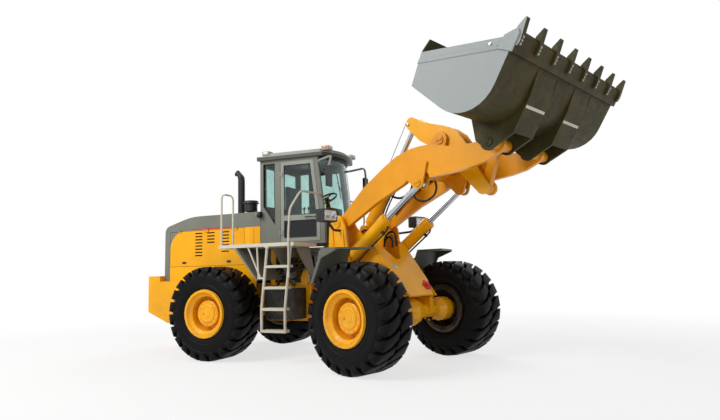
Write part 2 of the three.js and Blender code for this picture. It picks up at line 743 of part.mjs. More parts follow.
function placeCabSide(geometry, side) {
  geometry.rotateZ(-side * CAB_TAPER);
  return geometry.translate(CAB_REAR_X, side * CAB_REAR_HALF, 0);
}

// Outline of the door leaf in the side's own frame, shrunk all round by an inset.
function doorOutline(inset) {
  const rear = alongSide(DOOR_REAR_X) + inset;
  const front = (z) => alongSide(cabFrontX(z)) - PILLAR_WIDTH - inset;
  const top = CAB_EAVES_Z - 50 - inset;
  const bottom = CAB_FLOOR_Z + 45 + inset;
  return [[rear, bottom], [front(bottom), bottom], [front(SASH_Z), SASH_Z], [front(top), top], [rear, top]];
}

function doorGlass(lower) {
  const [a, b, c, d, e] = doorOutline(DOOR_FRAME);
  const sash = SASH_HEIGHT / 2;
  return lower
    ? [a, b, [c[0], SASH_Z - sash], [a[0], SASH_Z - sash]]
    : [[a[0], SASH_Z + sash], [c[0], SASH_Z + sash], d, e];
}

// Everything inside the outer face of one cab side, with a fitting gap.
function beyondCabSide(side) {
  return placeCabSide(
    box([-200, 2000], onSide(side, [-900, GAP]), [CAB_FLOOR_Z - 200, CAB_EAVES_Z + 200]), side);
}

function cabSide(side) {
  const length = (z) => alongSide(cabFrontX(z));
  const panel = sidePlate([
    [0, CAB_FLOOR_Z],
    [length(CAB_FLOOR_Z), CAB_FLOOR_Z],
    [length(SASH_Z), SASH_Z],
    [length(CAB_EAVES_Z), CAB_EAVES_Z],
    [0, CAB_EAVES_Z],
  ], onSide(side, [-CAB_WALL, 0]));
  const cutY = onSide(side, [-CAB_WALL - 5, 5]);
  const doorway = sidePlate(doorOutline(-DOOR_GAP), cutY);
  const rearWindow = sidePlate([
    [60, 2560],
    [alongSide(DOOR_REAR_X) - 110, 2230],
    [alongSide(DOOR_REAR_X) - 110, CAB_EAVES_Z - 60],
    [60, CAB_EAVES_Z - 60],
  ], cutY);
  return placeCabSide(cut(panel, doorway, rearWindow), side);
}

function cabDoor(side) {
  const leaf = sidePlate(doorOutline(0), onSide(side, [-40, 0]));
  const cutY = onSide(side, [-60, 20]);
  const upper = sidePlate(doorGlass(false), cutY);
  const lower = sidePlate(doorGlass(true), cutY);
  const hingeX = alongSide(DOOR_REAR_X) - DOOR_GAP - KNUCKLE_SET;
  const hingeY = side * (KNUCKLE + GAP);
  const knuckles = [CAB_FLOOR_Z + 200, CAB_EAVES_Z - 260].map((z) => join(
    bar([hingeX, hingeY, z - 45], [hingeX, hingeY, z + 45], KNUCKLE, 20),
    box([hingeX + 4, hingeX + 55], onSide(side, [-5, KNUCKLE]), [z - 40, z + 40])));
  return placeCabSide(join(cut(leaf, upper, lower), ...knuckles), side);
}

// Plan of the cab: straight rear, tapering sides and a bowed front.
function cabPlan(frontX, inset, z) {
  const x = frontX - inset;
  const half = CAB_REAR_HALF - Math.tan(CAB_TAPER) * (frontX - CAB_REAR_X) - inset;
  const rearHalf = CAB_REAR_HALF - inset;
  const bow = new THREE.QuadraticBezierCurve(
    new THREE.Vector2(x, -half), new THREE.Vector2(x + 2 * SCREEN_BULGE, 0), new THREE.Vector2(x, half));
  const front = bow.getPoints(8).map((p) => [p.x, p.y]);
  return [[CAB_REAR_X + inset, -rearHalf], ...front, [CAB_REAR_X + inset, rearHalf]];
}

function cabShell() {
  const floor = flatPlate(cabPlan(cabFrontX(CAB_FLOOR_Z), 0), [CAB_FLOOR_Z, CAB_FLOOR_Z + 40]);
  const header = cut(
    flatPlate(cabPlan(cabFrontX(CAB_EAVES_Z), 0), [CAB_EAVES_Z - 50, CAB_EAVES_Z]),
    flatPlate(cabPlan(cabFrontX(CAB_EAVES_Z), CAB_WALL), [CAB_EAVES_Z - 60, CAB_EAVES_Z + 10]));
  const apron = cut(
    flatPlate(cabPlan(cabFrontX(SASH_Z), 0), [CAB_FLOOR_Z, SASH_Z - 60]),
    flatPlate(cabPlan(cabFrontX(SASH_Z), CAB_WALL), [CAB_FLOOR_Z - 10, SASH_Z]),
    box([CAB_REAR_X - 100, cabFrontX(SASH_Z) - 20], [-1000, 1000], [CAB_FLOOR_Z - 10, SASH_Z]));
  const rearHalf = CAB_REAR_HALF - 5;
  const rearWall = cut(
    box([CAB_REAR_X, CAB_REAR_X + CAB_WALL], [-rearHalf, rearHalf], [CAB_FLOOR_Z, CAB_EAVES_Z]),
    box([CAB_REAR_X - 10, CAB_REAR_X + CAB_WALL + 10], [-rearHalf + 110, rearHalf - 110],
      [HOOD_TOP + 90, CAB_EAVES_Z - 110]));
  return join(floor, header, apron, rearWall, cabSide(-1), cabSide(1));
}

function cabRoof() {
  const front = CAB_FRONT_TOP_X + 110;
  const half = CAB_FRONT_HALF + ROOF_OVERHANG - 15;
  const rearHalf = CAB_REAR_HALF + ROOF_OVERHANG;
  const rear = CAB_REAR_X - ROOF_OVERHANG / 2;
  const bow = new THREE.QuadraticBezierCurve(
    new THREE.Vector2(front, -half), new THREE.Vector2(front + 1.7 * SCREEN_BULGE, 0),
    new THREE.Vector2(front, half)).getPoints(8).map((p) => [p.x, p.y]);
  const plan = (inset) => [
    [rear + inset, inset - rearHalf],
    ...bow.map(([x, y]) => [x - inset, y * (1 - inset / half)]),
    [rear + inset, rearHalf - inset],
  ];
  const brim = flatPlate(plan(0), [CAB_EAVES_Z + GAP, CAB_EAVES_Z + 0.55 * ROOF_THICKNESS]);
  const crown = flatPlate(plan(70), [CAB_EAVES_Z + 0.4 * ROOF_THICKNESS, CAB_EAVES_Z + ROOF_THICKNESS]);
  return join(brim, crown);
}

function seat() {
  const pedestal = box([-760, -480], [-190, 190], [CAB_FLOOR_Z + 40 + GAP, 2260]);
  const cushion = box([-800, -330], [-240, 240], [2250, 2380]);
  const back = box([-860, -740], [-230, 230], [2330, 2960]);
  return join(pedestal, cushion, back);
}

function steeringSet() {
  const tilt = 25;
  const wheel = new THREE.TorusGeometry(195, 16, 6, 18);
  const spokes = [90, 210, 330].map((angle) => bar([0, 0, 0],
    [195 * Math.cos(rad(angle)), 195 * Math.sin(rad(angle)), 0], 13, 8));
  const whole = join(wheel, bar([0, 0, -50], [0, 0, 20], 45, 12), ...spokes);
  whole.rotateY(rad(-tilt)).translate(-120, 0, 2700);
  const floor = CAB_FLOOR_Z + 40 + GAP;
  return join(whole, box([-70, 110], [-90, 90], [floor, floor + 70]),
    bar([20, 0, floor + 60], [-108, 0, 2675], 75, 10, 36));
}

function exhaustPipe() {
  const [x, y] = EXHAUST_AT;
  const [back, up] = EXHAUST_BEND;
  return tube([[x, y, HOOD_TOP + GAP], [x, y, EXHAUST_TOP - up], [x - back, y, EXHAUST_TOP]],
    EXHAUST_RADIUS, 80, 12);
}

function airIntake() {
  const [x, y] = INTAKE_AT;
  return join(
    bar([x, y, HOOD_TOP + GAP], [x, y, HOOD_TOP + 80], 70, 16),
    bar([x, y, HOOD_TOP + 70], [x, y, HOOD_TOP + 225], 118, 16),
    bar([x, y, HOOD_TOP + 220], [x, y, HOOD_TOP + 270], 150, 16, 130));
}

function mirror(side) {
  const arm = tube([
    [5, side * (CAB_FRONT_HALF - 30), 3255],
    [60, side * (CAB_FRONT_HALF + 60), 3275],
    [340, side * 665, 3320],
    [330, side * 735, 3130],
  ], 20, 60);
  const head = box([300, 345], onSide(side, [650, 810]), [2800, 3135]);
  return cut(join(arm, head), beyondCabSide(side));
}

// ---------------------------------------------------------------- front frame
const NOSE_HEAD = [1255, 1825];
const FRONT_SEAT_Z = AXLE_Z + FRONT_SEAT_RISE;
const NOSE_FOOT = [FRONT_AXLE_X + 230, FRONT_SEAT_Z + 25];
const TOWER_FLOOR_Z = 1270;
const TOWER_BACK_X = 575;
const TOWER_INNER = [TOWER_INNER_Y - TOWER_PLATE, TOWER_INNER_Y];
const TOWER_OUTER = [TOWER_OUTER_Y - TOWER_PLATE, TOWER_OUTER_Y];

// Upper outline of a tower, around the boom pivot.
function towerHead() {
  const [x, z] = BOOM_PIVOT;
  return [[x - 190, z - 60], [x - 110, z + 90], [x - 20, z + 125], [x + 75, z + 105], [x + 165, z - 60]];
}

function frontFrame() {
  const outerProfile = [
    [560, 1500], ...towerHead(), [BOOM_PIVOT[0] + 250, 1500], [900, TOWER_FLOOR_Z], [600, TOWER_FLOOR_Z],
  ];
  const innerProfile = [
    [HINGE_REACH - 20, FRAME_BOTTOM],
    [HINGE_REACH - 20, FRAME_TOP - 30],
    [560, 1500],
    ...towerHead(),
    NOSE_HEAD,
    NOSE_FOOT,
    [FRONT_AXLE_X + 150, FRONT_SEAT_Z],
    [FRONT_AXLE_X - 170, FRONT_SEAT_Z],
    [FRONT_AXLE_X - 420, FRAME_BOTTOM],
  ];
  const span = [-TOWER_INNER_Y + 2, TOWER_INNER_Y - 2];
  const cross = [
    box([HINGE_REACH - 20, HINGE_REACH + 15], span, [FRAME_BOTTOM, FRAME_TOP - 30]),
    box([HINGE_REACH, FRONT_AXLE_X - 420], span, [FRAME_BOTTOM, FRAME_BOTTOM + 30]),
    box([TILT_BASE[0] - 75, TILT_BASE[0] + 40], span, [1620, 1700]),
    box([FRONT_AXLE_X - 170, FRONT_AXLE_X + 150], span, [FRONT_SEAT_Z + 25, FRONT_SEAT_Z + 55]),
  ];
  const sides = bothSides.flatMap(([, side]) => [
    sidePlate(outerProfile, onSide(side, TOWER_OUTER)),
    sidePlate(innerProfile, onSide(side, TOWER_INNER)),
    box([TOWER_BACK_X, TOWER_BACK_X + 30], onSide(side, [TOWER_INNER_Y - 5, TOWER_OUTER[0] + 5]),
      [1340, 1880]),
    ...steeringLugs(STEER_EYE_AT, side, [
      [HINGE_REACH - 5, STEER_EYE_AT[1] - 60], [HINGE_REACH - 5, STEER_EYE_AT[1] + 60],
    ]),
    tiltLug(side),
  ]);
  const ears = [HINGE_UPPER_Z, HINGE_LOWER_Z].map((z) => hingeEar(z - HINGE_EAR / 2, z + HINGE_EAR / 2, 1));
  return join(...sides, nosePlate(), ...cross, ...ears);
}

// Ears beside the tilt cylinder's foot.
function tiltLug(side) {
  const [x, z] = TILT_BASE;
  return sidePlate([
    [x - 70, 1640], [x - 85, z - 20], ...arc([x, z], 85, 150, 30, 4), [x + 85, z - 20], [x + 40, 1640],
  ], onSide(side, TILT_LUG_Y));
}

// Big front plate that leans back from the axle to the towers, with two horns and a notch between.
function nosePlate() {
  const run = Math.hypot(NOSE_HEAD[0] - NOSE_FOOT[0], NOSE_HEAD[1] - NOSE_FOOT[1]);
  const half = NOSE_HALF_WIDTH;
  const plate = flatPlate([
    [0, -0.72 * half], [0, 0.72 * half], [300, half], [run, half], [run, half - 120],
    [run - 330, 70], [run - 330, -70], [run, 120 - half], [run, -half], [300, -half],
  ], [-30, 2]);
  const rise = Math.atan2(NOSE_HEAD[1] - NOSE_FOOT[1], NOSE_HEAD[0] - NOSE_FOOT[0]);
  return plate.rotateY(-rise).translate(NOSE_FOOT[0], 0, NOSE_FOOT[1]);
}

const FENDER_TOP = 2 * TYRE_RADIUS + FENDER_RISE;

// Sheet over the tyre with a skirt on its outer edge. Its front edge slants back to the outer corner.
function frontFender(side) {
  const inner = TRACK / 2 - TYRE_WIDTH / 2 - 20;
  const outer = PLATFORM_OUTER + 40;
  const back = FRONT_AXLE_X - FENDER_FOOT[0] * TYRE_RADIUS;
  const front = FRONT_AXLE_X + FENDER_FRONT;
  const foot = AXLE_Z + FENDER_FOOT[1] * TYRE_RADIUS;
  const under = FENDER_TOP - FENDER_SHEET;
  const shoulder = back + FENDER_SLOPE * TYRE_RADIUS;
  const sheet = sidePlate([
    [back, foot], [shoulder, FENDER_TOP], [front, FENDER_TOP], [front, under], [shoulder + 15, under],
    [back + 25, foot],
  ], onSide(side, [inner, outer]));
  const skirt = sidePlate([
    [shoulder, FENDER_TOP], [front, FENDER_TOP], [front, FENDER_TOP - 35],
    [front - FENDER_CORNER, FENDER_TOP - 40],
    [shoulder + 5, FENDER_TOP - 140], [back + 40, foot], [back, foot],
  ], onSide(side, [outer - FENDER_SHEET, outer]));
  const corner = flatPlate([
    [front, side * (inner - 10)], [front - FENDER_CORNER, side * (outer + 10)],
    [front + 20, side * (outer + 10)], [front + 20, side * (inner - 10)],
  ], [under - 60, FENDER_TOP + 10]);
  // Flat arms from the tower to the back of the sheet.
  const slopeX = (z) => back + ((shoulder - back) * (z - foot)) / (FENDER_TOP - foot);
  const arms = [FENDER_TOP - 163, foot + 140].map((z) => flatPlate([
    [930, side * (TOWER_OUTER_Y + GAP)], [990, side * (TOWER_OUTER_Y + GAP)],
    [slopeX(z) + 35, side * (inner + 15)], [slopeX(z) - 45, side * (inner + 15)],
  ], [z, z + FENDER_SHEET]));
  return join(cut(join(sheet, skirt), corner), ...arms);
}

function headlamp(side) {
  const body = box([940, 1090], onSide(side, [950, 1230]), [2150, 2340]);
  const arm = tube([
    [850, side * (TOWER_OUTER_Y + GAP), 2050],
    [850, side * 790, 2050],
    [1010, side * 980, 2080],
    [1010, side * 1090, 2180],
  ], 20, 50);
  return join(arm, body);
}

// ---------------------------------------------------------------- cylinders
const CYLINDER_SIDES = 20;

// Barrel along +X from its foot eye at the origin, with a gland at the far end and a bore for the rod.
function barrel({ radius, length, rod, eye, foot }) {
  const bore = rod + GAP;
  const start = 1.3 * eye;
  const body = turned([
    [0, start], [radius, start + 12], [radius, length - 90], [radius + 8, length - 90],
    [radius + 8, length], [bore, length], [bore, start + 50], [0, start + 50],
  ], CYLINDER_SIDES).rotateZ(-Math.PI / 2);
  const half = Math.min(eye * 0.7, foot[1]);
  const neck = box([0, start + 20], [-half, half], [-0.7 * eye, 0.7 * eye]);
  return join(body, neck, boss([0, 0], foot, eye, 18));
}

// Rod along +X that ends in an eye at the origin and reaches back by its length.
function pistonRod({ rod, rodLength, eye, head }) {
  return join(
    bar([-rodLength, 0, 0], [-0.5 * eye, 0, 0], rod, CYLINDER_SIDES),
    boss([0, 0], head, eye, 18));
}

// Barrel and rod between two pins in their parent's XZ plane, at a distance across the machine.
function addCylinder(group, [barrelName, rodName], from, to, y, size) {
  const line = new THREE.Group();
  line.position.set(from[0], y, from[1]);
  line.rotation.y = -Math.atan2(to[1] - from[1], to[0] - from[0]);
  group.add(line);
  addPart(line, barrelName, barrel(size), YELLOW);
  const rod = new THREE.Group();
  rod.position.x = Math.hypot(to[0] - from[0], to[1] - from[1]);
  line.add(rod);
  addPart(rod, rodName, pistonRod(size), CHROME);
}

// Steering cylinders lie flat between the frames, one on each side.
function addSteeringCylinder(group, name, side) {
  const eye = new THREE.Vector2(STEER_EYE_AT[0], side * STEER_EYE_AT[1])
    .rotateAround(new THREE.Vector2(0, 0), rad(STEER_REST));
  const along = eye.clone().sub(new THREE.Vector2(STEER_BASE[0], side * STEER_BASE[1]));
  const line = new THREE.Group();
  line.position.set(STEER_BASE[0], side * STEER_BASE[1], STEER_Z);
  line.rotation.z = along.angle();
  group.add(line);
  const half = STEER_EYE_HALF - GAP;
  const size = {
    radius: STEER_BARREL_RADIUS, length: STEER_BARREL_LENGTH,
    rod: STEER_ROD_RADIUS, rodLength: STEER_ROD_LENGTH,
    eye: STEER_EYE, foot: [-half, half], head: [-half, half],
  };
  addPart(line, `${name}_barrel`, barrel(size).rotateX(Math.PI / 2), YELLOW);
  const rod = new THREE.Group();
  rod.position.x = along.length();
  line.add(rod);
  addPart(rod, `${name}_rod`, pistonRod(size).rotateX(Math.PI / 2), CHROME);
}

// ---------------------------------------------------------------- loader linkage
const ARM_SPAN = [ARM_Y - ARM_THICKNESS / 2, ARM_Y + ARM_THICKNESS / 2];

function boom() {
  const top = [
    [-100, 50], [-50, 112], [65, 108], [632, 362], [1098, 487], [1376, 542], [1624, 541], [1825, 500],
    [1966, 455], [2259, 293], [BOOM_LENGTH - 338, 173], [BOOM_LENGTH - 133, 124],
  ];
  const tip = arc([BOOM_LENGTH, 0], 112, 75, -80, 6);
  const bottom = [
    [BOOM_LENGTH - 202, -142], [2514, -125], [2230, -80], [1820, 16], [1660, 46], [1371, 99], [805, 38],
    [100, -102], [-50, -105], [-100, -50],
  ];
  const arms = bothSides.map(([, side]) => {
    const plate = sidePlate([...top, ...tip, ...bottom], onSide(side, ARM_SPAN));
    // Room for the rod's eye, and for the rod where it lies closest to the arm.
    const [x, z] = LIFT_PIN;
    const through = onSide(side, [ARM_SPAN[0] - 5, ARM_SPAN[1] + 5]);
    const notch = join(boss(LIFT_PIN, through, LIFT_NOTCH, 24), sidePlate([
      [x, z], [x, z + 150], [x - 120, z + 128], [x - 300, z + 79], [x - 300, z],
    ], through));
    const lugs = [-1, 1].flatMap((way) => {
      const between = (near, far) =>
        onSide(side, [ARM_Y + way * near, ARM_Y + way * far].sort((a, b) => a - b));
      return [
        sidePlate([[x - 240, 260], ...arc(LIFT_PIN, 90, 205, 335, 6), [x + 240, 230]],
          between(LIFT_LUG_Y[0], LIFT_LUG_Y[1])),
        sidePlate([
          [x - 225, 275], [x - 205, z + LIFT_NOTCH + 7], [x + 205, z + LIFT_NOTCH + 7], [x + 225, 250],
        ], between(ARM_THICKNESS / 2 - 5, LIFT_LUG_Y[0] + 5)),
      ];
    });
    const rootEye = boss([0, 0], onSide(side, [TOWER_INNER_Y + GAP, TOWER_OUTER[0] - GAP]),
      BOOM_EYE_RADIUS, 20);
    const tipEye = boss([BOOM_LENGTH, 0], onSide(side, [
      RIB_CENTRE - RIB_WIDTH / 2 + BUCKET_EAR + GAP, RIB_CENTRE + RIB_WIDTH / 2 - BUCKET_EAR - GAP,
    ]), TIP_EYE_RADIUS, 20);
    return join(cut(plate, notch), ...lugs, rootEye, tipEye);
  });
  const cross = box([1380, 1620], [-ARM_SPAN[0] - 10, ARM_SPAN[0] + 10], [240, 470]);
  const near = ROCKER_HALF_GAP + ROCKER_PLATE + 8;
  const lugs = bothSides.map(([, side]) => sidePlate([
    [1420, 250], [1610, 250], [ROCKER_PIVOT[0] + 60, ROCKER_PIVOT[1] - 120],
    ...arc(ROCKER_PIVOT, 120, -40, 140, 6), [1480, 460], [1420, 460],
  ], onSide(side, [near, near + 45])));
  return join(...arms, cross, ...lugs);
}

const onCircle = (radius, angle) => [radius * Math.cos(rad(angle)), radius * Math.sin(rad(angle))];

// Bell crank: two plates on one pivot boss.
function rocker() {
  const high = onCircle(ROCKER_TOP_ARM, ROCKER_TOP_ANGLE);
  const low = onCircle(ROCKER_BOTTOM_ARM, ROCKER_BOTTOM_ANGLE);
  const profile = [
    ...arc(high, 98, 50, 205, 6),
    [-367, 168], [-243, 36], [-130, -70], [20, -330], [135, -590],
    ...arc(low, 95, 190, 370, 7),
    [395, -560], [370, -260], [290, -20], [182, 125], [81, 205], [-184, 384],
  ];
  const plates = [-1, 1].map((side) =>
    sidePlate(profile, onSide(side, [ROCKER_HALF_GAP, ROCKER_HALF_GAP + ROCKER_PLATE])));
  const reach = ROCKER_HALF_GAP + ROCKER_PLATE + 8 - GAP;
  const hub = boss([0, 0], [-reach, reach], 85, 20);
  return join(...plates, hub);
}

function bucketLink(length) {
  const half = LINK_HALF - GAP;
  return join(
    boss([0, 0], [-half, half], 80, 18),
    boss([length, 0], [-half, half], 80, 18),
    box([0, length], [-half + 28, half - 28], [-60, 60]));
}

// ---------------------------------------------------------------- bucket
// Section from the lip, round the heel, up the back and out along the top, offset inwards.
function bucketLine(inset) {
  const floor = -BUCKET_FLOOR_DROP + inset;
  const centre = [BUCKET_HEEL_X, BUCKET_HEEL_RADIUS - BUCKET_FLOOR_DROP];
  const heel = arc(centre, BUCKET_HEEL_RADIUS - inset, 270, 90 + BUCKET_BACK_ANGLE, 9);
  const back = onCircle(BUCKET_BACK_LENGTH - inset, BUCKET_BACK_ANGLE);
  const start = heel[heel.length - 1];
  const knee = [start[0] + back[0], start[1] + back[1]];
  const out = onCircle(BUCKET_TOP_REACH - inset, BUCKET_TOP_RISE);
  return [[BUCKET_LIP_X - FLOOR_STEP, floor], ...heel, knee, [knee[0] + out[0], knee[1] + out[1]]];
}

function bucket() {
  const outer = bucketLine(0);
  const inner = bucketLine(BUCKET_PLATE).reverse();
  const half = BUCKET_HALF_WIDTH;
  const shell = sidePlate([...outer, ...inner], [-half, half]);
  const top = outer[outer.length - 1];
  const cheekFront = [BUCKET_LIP_X - 110, -117];
  const cheeks = bothSides.map(([, side]) => sidePlate([
    outer[0], cheekFront, top, ...outer.slice(1, -1).reverse(),
  ], onSide(side, [half - BUCKET_PLATE, half])));
  const guard = flatPlate([
    [-30, -half], [0, -half], [SPILL_GUARD, 80 - half], [SPILL_GUARD, half - 80], [0, half], [-30, half],
  ], [-20, 0]).rotateY(-rad(BUCKET_TOP_RISE)).translate(top[0], 0, top[1]);
  return join(shell, ...cheeks, guard, ...bothSides.map(([, side]) => hingeRib(side)), ...tiltLugs());
}

// Box rib under the floor whose side plates are the ears of one hinge pin.
function hingeRib(side) {
  const y0 = RIB_CENTRE - RIB_WIDTH / 2;
  const y1 = RIB_CENTRE + RIB_WIDTH / 2;
  const low = -BUCKET_FLOOR_DROP - RIB_DROP;
  const heelBack = BUCKET_HEEL_X - BUCKET_HEEL_RADIUS + 14;
  const ear = [
    [heelBack, 375], [-60, 170], ...arc([0, 0], 112, 135, 255, 5), [217, low], [700, low],
    [1000, 6 - BUCKET_FLOOR_DROP], [BUCKET_HEEL_X, 8 - BUCKET_FLOOR_DROP],
    [430, -170], [270, -30], [200, 130],
  ];
  const plates = [[y1 - BUCKET_EAR, y1], [y0, y0 + BUCKET_EAR]].map((y) => sidePlate(ear, onSide(side, y)));
  const skid = sidePlate([
    [217, low], [700, low], [1000, 6 - BUCKET_FLOOR_DROP], [700, low + 22], [225, low + 22],
  ], onSide(side, [y0 + 5, y1 - 5]));
  return join(...plates, skid);
}

// Pair of ears on the back for the bucket link's pin.
function tiltLugs() {
  const [x, z] = BUCKET_LINK_PIN;
  return [-1, 1].map((side) => sidePlate([
    [185, 200], ...arc([x, z], 85, 240, 90, 5), [235, 620],
  ], onSide(side, [LINK_HALF, LINK_HALF + 35])));
}

// Lip plate with its teeth and the two corner cutters.
function cuttingEdge() {
  const half = BUCKET_HALF_WIDTH;
  const high = -BUCKET_FLOOR_DROP - GAP;
  const low = high - EDGE_THICKNESS;
  const lip = sidePlate([
    [BUCKET_LIP_X - EDGE_DEPTH, low], [BUCKET_LIP_X - 40, low], [BUCKET_LIP_X, high - 12],
    [BUCKET_LIP_X, high], [BUCKET_LIP_X - EDGE_DEPTH, high],
  ], [-half - 20, half + 20]);
  const tip = BUCKET_LIP_X + TOOTH_REACH;
  const first = 35 - half;
  const pitch = (-2 * first) / (TOOTH_COUNT - 1);
  const teeth = Array.from({ length: TOOTH_COUNT }, (_, i) => sidePlate([
    [BUCKET_LIP_X - 165, low + 6], [BUCKET_LIP_X - 165, low - 24], [BUCKET_LIP_X - 110, low - 36],
    [tip, low + 4], [tip, low + 18], [BUCKET_LIP_X + 25, high + 26],
    [BUCKET_LIP_X - FLOOR_STEP + 4, high + 26], [BUCKET_LIP_X - FLOOR_STEP + 4, high - 6],
  ], [first + i * pitch - 36, first + i * pitch + 36]));
  const cutters = bothSides.map(([, side]) => sidePlate([
    [BUCKET_LIP_X - EDGE_DEPTH, high - 5], [BUCKET_LIP_X - 5, high - 5], [BUCKET_LIP_X - 5, high + 20],
    [BUCKET_LIP_X - 100, high + 125], [BUCKET_LIP_X - 257, high + 140],
  ], onSide(side, [half + GAP, half + 20])));
  return join(lip, ...teeth, ...cutters);
}

// ---------------------------------------------------------------- assembly
const model = new THREE.Group();
const rear = new THREE.Group();
const front = new THREE.Group();
front.rotation.z = rad(STEER_REST);
model.add(rear, front);

addPart(rear, 'rear_frame', rearFrame(), YELLOW);
addPart(rear, 'engine', engine(), BLACK);
addPart(rear, 'transmission', transmission(), BLACK);
addPart(rear, 'counterweight', counterweight(), YELLOW);
addPart(rear, 'hood', hoodShell(), GREY);
addPart(rear, 'radiator_door', radiatorDoor(), GREY);
addPart(rear, 'exhaust_pipe', exhaustPipe(), BLACK);
addPart(rear, 'air_intake', airIntake(), BLACK);
addPart(rear, 'cab_shell', cabShell(), GREY);
addPart(rear, 'cab_roof', cabRoof(), ROOF_GREY);
addPart(rear, 'seat', seat(), VINYL);
addPart(rear, 'steering_wheel', steeringSet(), BLACK);

const rearAxle = new THREE.Group();
rearAxle.position.set(REAR_AXLE_X, 0, AXLE_Z);
rear.add(rearAxle);
addPart(rearAxle, 'rear_axle', axle(AXLE_SEAT_Z, [PLATE_Y[0] - 30, PLATE_Y[1] + 30]), YELLOW);

for (const [name, side] of bothSides) {
  addPart(rear, `${name}_engine_panel`, enginePanel(side), YELLOW);
  addPart(rear, `${name}_platform`, platform(side), GREY);
  addPart(rear, `${name}_tank`, sideTank(side), BLACK);
  addPart(rear, `${name}_ladder`, ladder(side), STEEL);
  addPart(rear, `${name}_front_handrail`, frontHandrail(side), STEEL);
  addPart(rear, `${name}_cab_door`, cabDoor(side), GREY);
  addPart(rear, `${name}_mirror`, mirror(side), BLACK);
  addWheel(rear, `${name}_rear`, REAR_AXLE_X, side);
  addSteeringCylinder(rear, `${name}_steering`, side);
}

addPart(front, 'front_frame', frontFrame(), YELLOW);
const frontAxle = new THREE.Group();
frontAxle.position.set(FRONT_AXLE_X, 0, AXLE_Z);
front.add(frontAxle);
addPart(frontAxle, 'front_axle', axle(FRONT_SEAT_Z, [TOWER_INNER[0] - 30, TOWER_INNER[1] + 30]), YELLOW);
for (const [name, side] of bothSides) {
  addPart(front, `${name}_front_fender`, frontFender(side), GREY);
  addPart(front, `${name}_headlamp`, headlamp(side), LAMP);
  addWheel(front, `${name}_front`, FRONT_AXLE_X, side);
}

// Loader arms and what hangs on them, each group at its own pin.
const onBoom = ([u, v]) => {
  const turn = rad(BOOM_REST);
  return [
    BOOM_PIVOT[0] + u * Math.cos(turn) - v * Math.sin(turn),
    BOOM_PIVOT[1] + u * Math.sin(turn) + v * Math.cos(turn),
  ];
};
const boomGroup = new THREE.Group();
boomGroup.position.set(BOOM_PIVOT[0], 0, BOOM_PIVOT[1]);
boomGroup.rotation.y = -rad(BOOM_REST);
front.add(boomGroup);
addPart(boomGroup, 'boom', boom(), YELLOW);

const rockerGroup = new THREE.Group();
rockerGroup.position.set(ROCKER_PIVOT[0], 0, ROCKER_PIVOT[1]);
boomGroup.add(rockerGroup);
addPart(rockerGroup, 'rocker', rocker(), YELLOW);

const bucketGroup = new THREE.Group();
bucketGroup.position.set(BOOM_LENGTH, 0, 0);
bucketGroup.rotation.y = -rad(BUCKET_REST);
boomGroup.add(bucketGroup);
addPart(bucketGroup, 'bucket', bucket(), BUCKET_OLIVE);
addPart(bucketGroup, 'cutting_edge', cuttingEdge(), BUCKET_OLIVE);

// Bucket link, from the rocker's lower end to the bucket's link pin.
const linkPin = onCircle(Math.hypot(...BUCKET_LINK_PIN),
  THREE.MathUtils.radToDeg(Math.atan2(BUCKET_LINK_PIN[1], BUCKET_LINK_PIN[0])) + BUCKET_REST);
const linkTo = [BOOM_LENGTH + linkPin[0], linkPin[1]];
const rockerLow = onCircle(ROCKER_BOTTOM_ARM, ROCKER_BOTTOM_ANGLE);
const linkFrom = [ROCKER_PIVOT[0] + rockerLow[0], ROCKER_PIVOT[1] + rockerLow[1]];
const linkGroup = new THREE.Group();
linkGroup.position.set(linkFrom[0], 0, linkFrom[1]);
linkGroup.rotation.y = -Math.atan2(linkTo[1] - linkFrom[1], linkTo[0] - linkFrom[0]);
boomGroup.add(linkGroup);
addPart(linkGroup, 'bucket_link',
  bucketLink(Math.hypot(linkTo[0] - linkFrom[0], linkTo[1] - linkFrom[1])), YELLOW);

// Hydraulic cylinders of the linkage, posed between their pins.
for (const [name, side] of bothSides) {
  const foot = [TOWER_INNER_Y + GAP - ARM_Y, TOWER_OUTER[0] - GAP - ARM_Y];
  addCylinder(front, [`${name}_lift_barrel`, `${name}_lift_rod`], LIFT_BASE, onBoom(LIFT_PIN), side * ARM_Y, {
    radius: LIFT_BARREL_RADIUS, length: LIFT_BARREL_LENGTH,
    rod: LIFT_ROD_RADIUS, rodLength: LIFT_ROD_LENGTH,
    eye: LIFT_EYE, foot: onSide(side, foot), head: [GAP - LIFT_LUG_Y[0], LIFT_LUG_Y[0] - GAP],
  });
}
const rockerHigh = onCircle(ROCKER_TOP_ARM, ROCKER_TOP_ANGLE);
const tiltPin = onBoom([ROCKER_PIVOT[0] + rockerHigh[0], ROCKER_PIVOT[1] + rockerHigh[1]]);
addCylinder(front, ['tilt_barrel', 'tilt_rod'], TILT_BASE, tiltPin, 0, {
  radius: TILT_BARREL_RADIUS, length: TILT_BARREL_LENGTH, rod: TILT_ROD_RADIUS, rodLength: TILT_ROD_LENGTH,
  eye: TILT_EYE, foot: [GAP - TILT_LUG_Y[0], TILT_LUG_Y[0] - GAP],
  head: [GAP - ROCKER_HALF_GAP, ROCKER_HALF_GAP - GAP],
});

// The part's origin is the middle of its base on the ground.
const bounds = new THREE.Box3().setFromObject(model);
const middle = bounds.getCenter(new THREE.Vector3());
model.position.set(-middle.x, -middle.y, -bounds.min.z);

const part = new THREE.Group();
part.add(model);
part.userData = {
  shift: model.position.toArray(),
  steerRest: STEER_REST,
  pins: {
    boom: BOOM_PIVOT, bucket: onBoom([BOOM_LENGTH, 0]), rocker: onBoom(ROCKER_PIVOT),
    link: onBoom(linkTo), linkFrom: onBoom(linkFrom), tilt: TILT_BASE, tiltPin, lift: LIFT_BASE,
    liftPin: onBoom(LIFT_PIN),
  },
};

export default part;
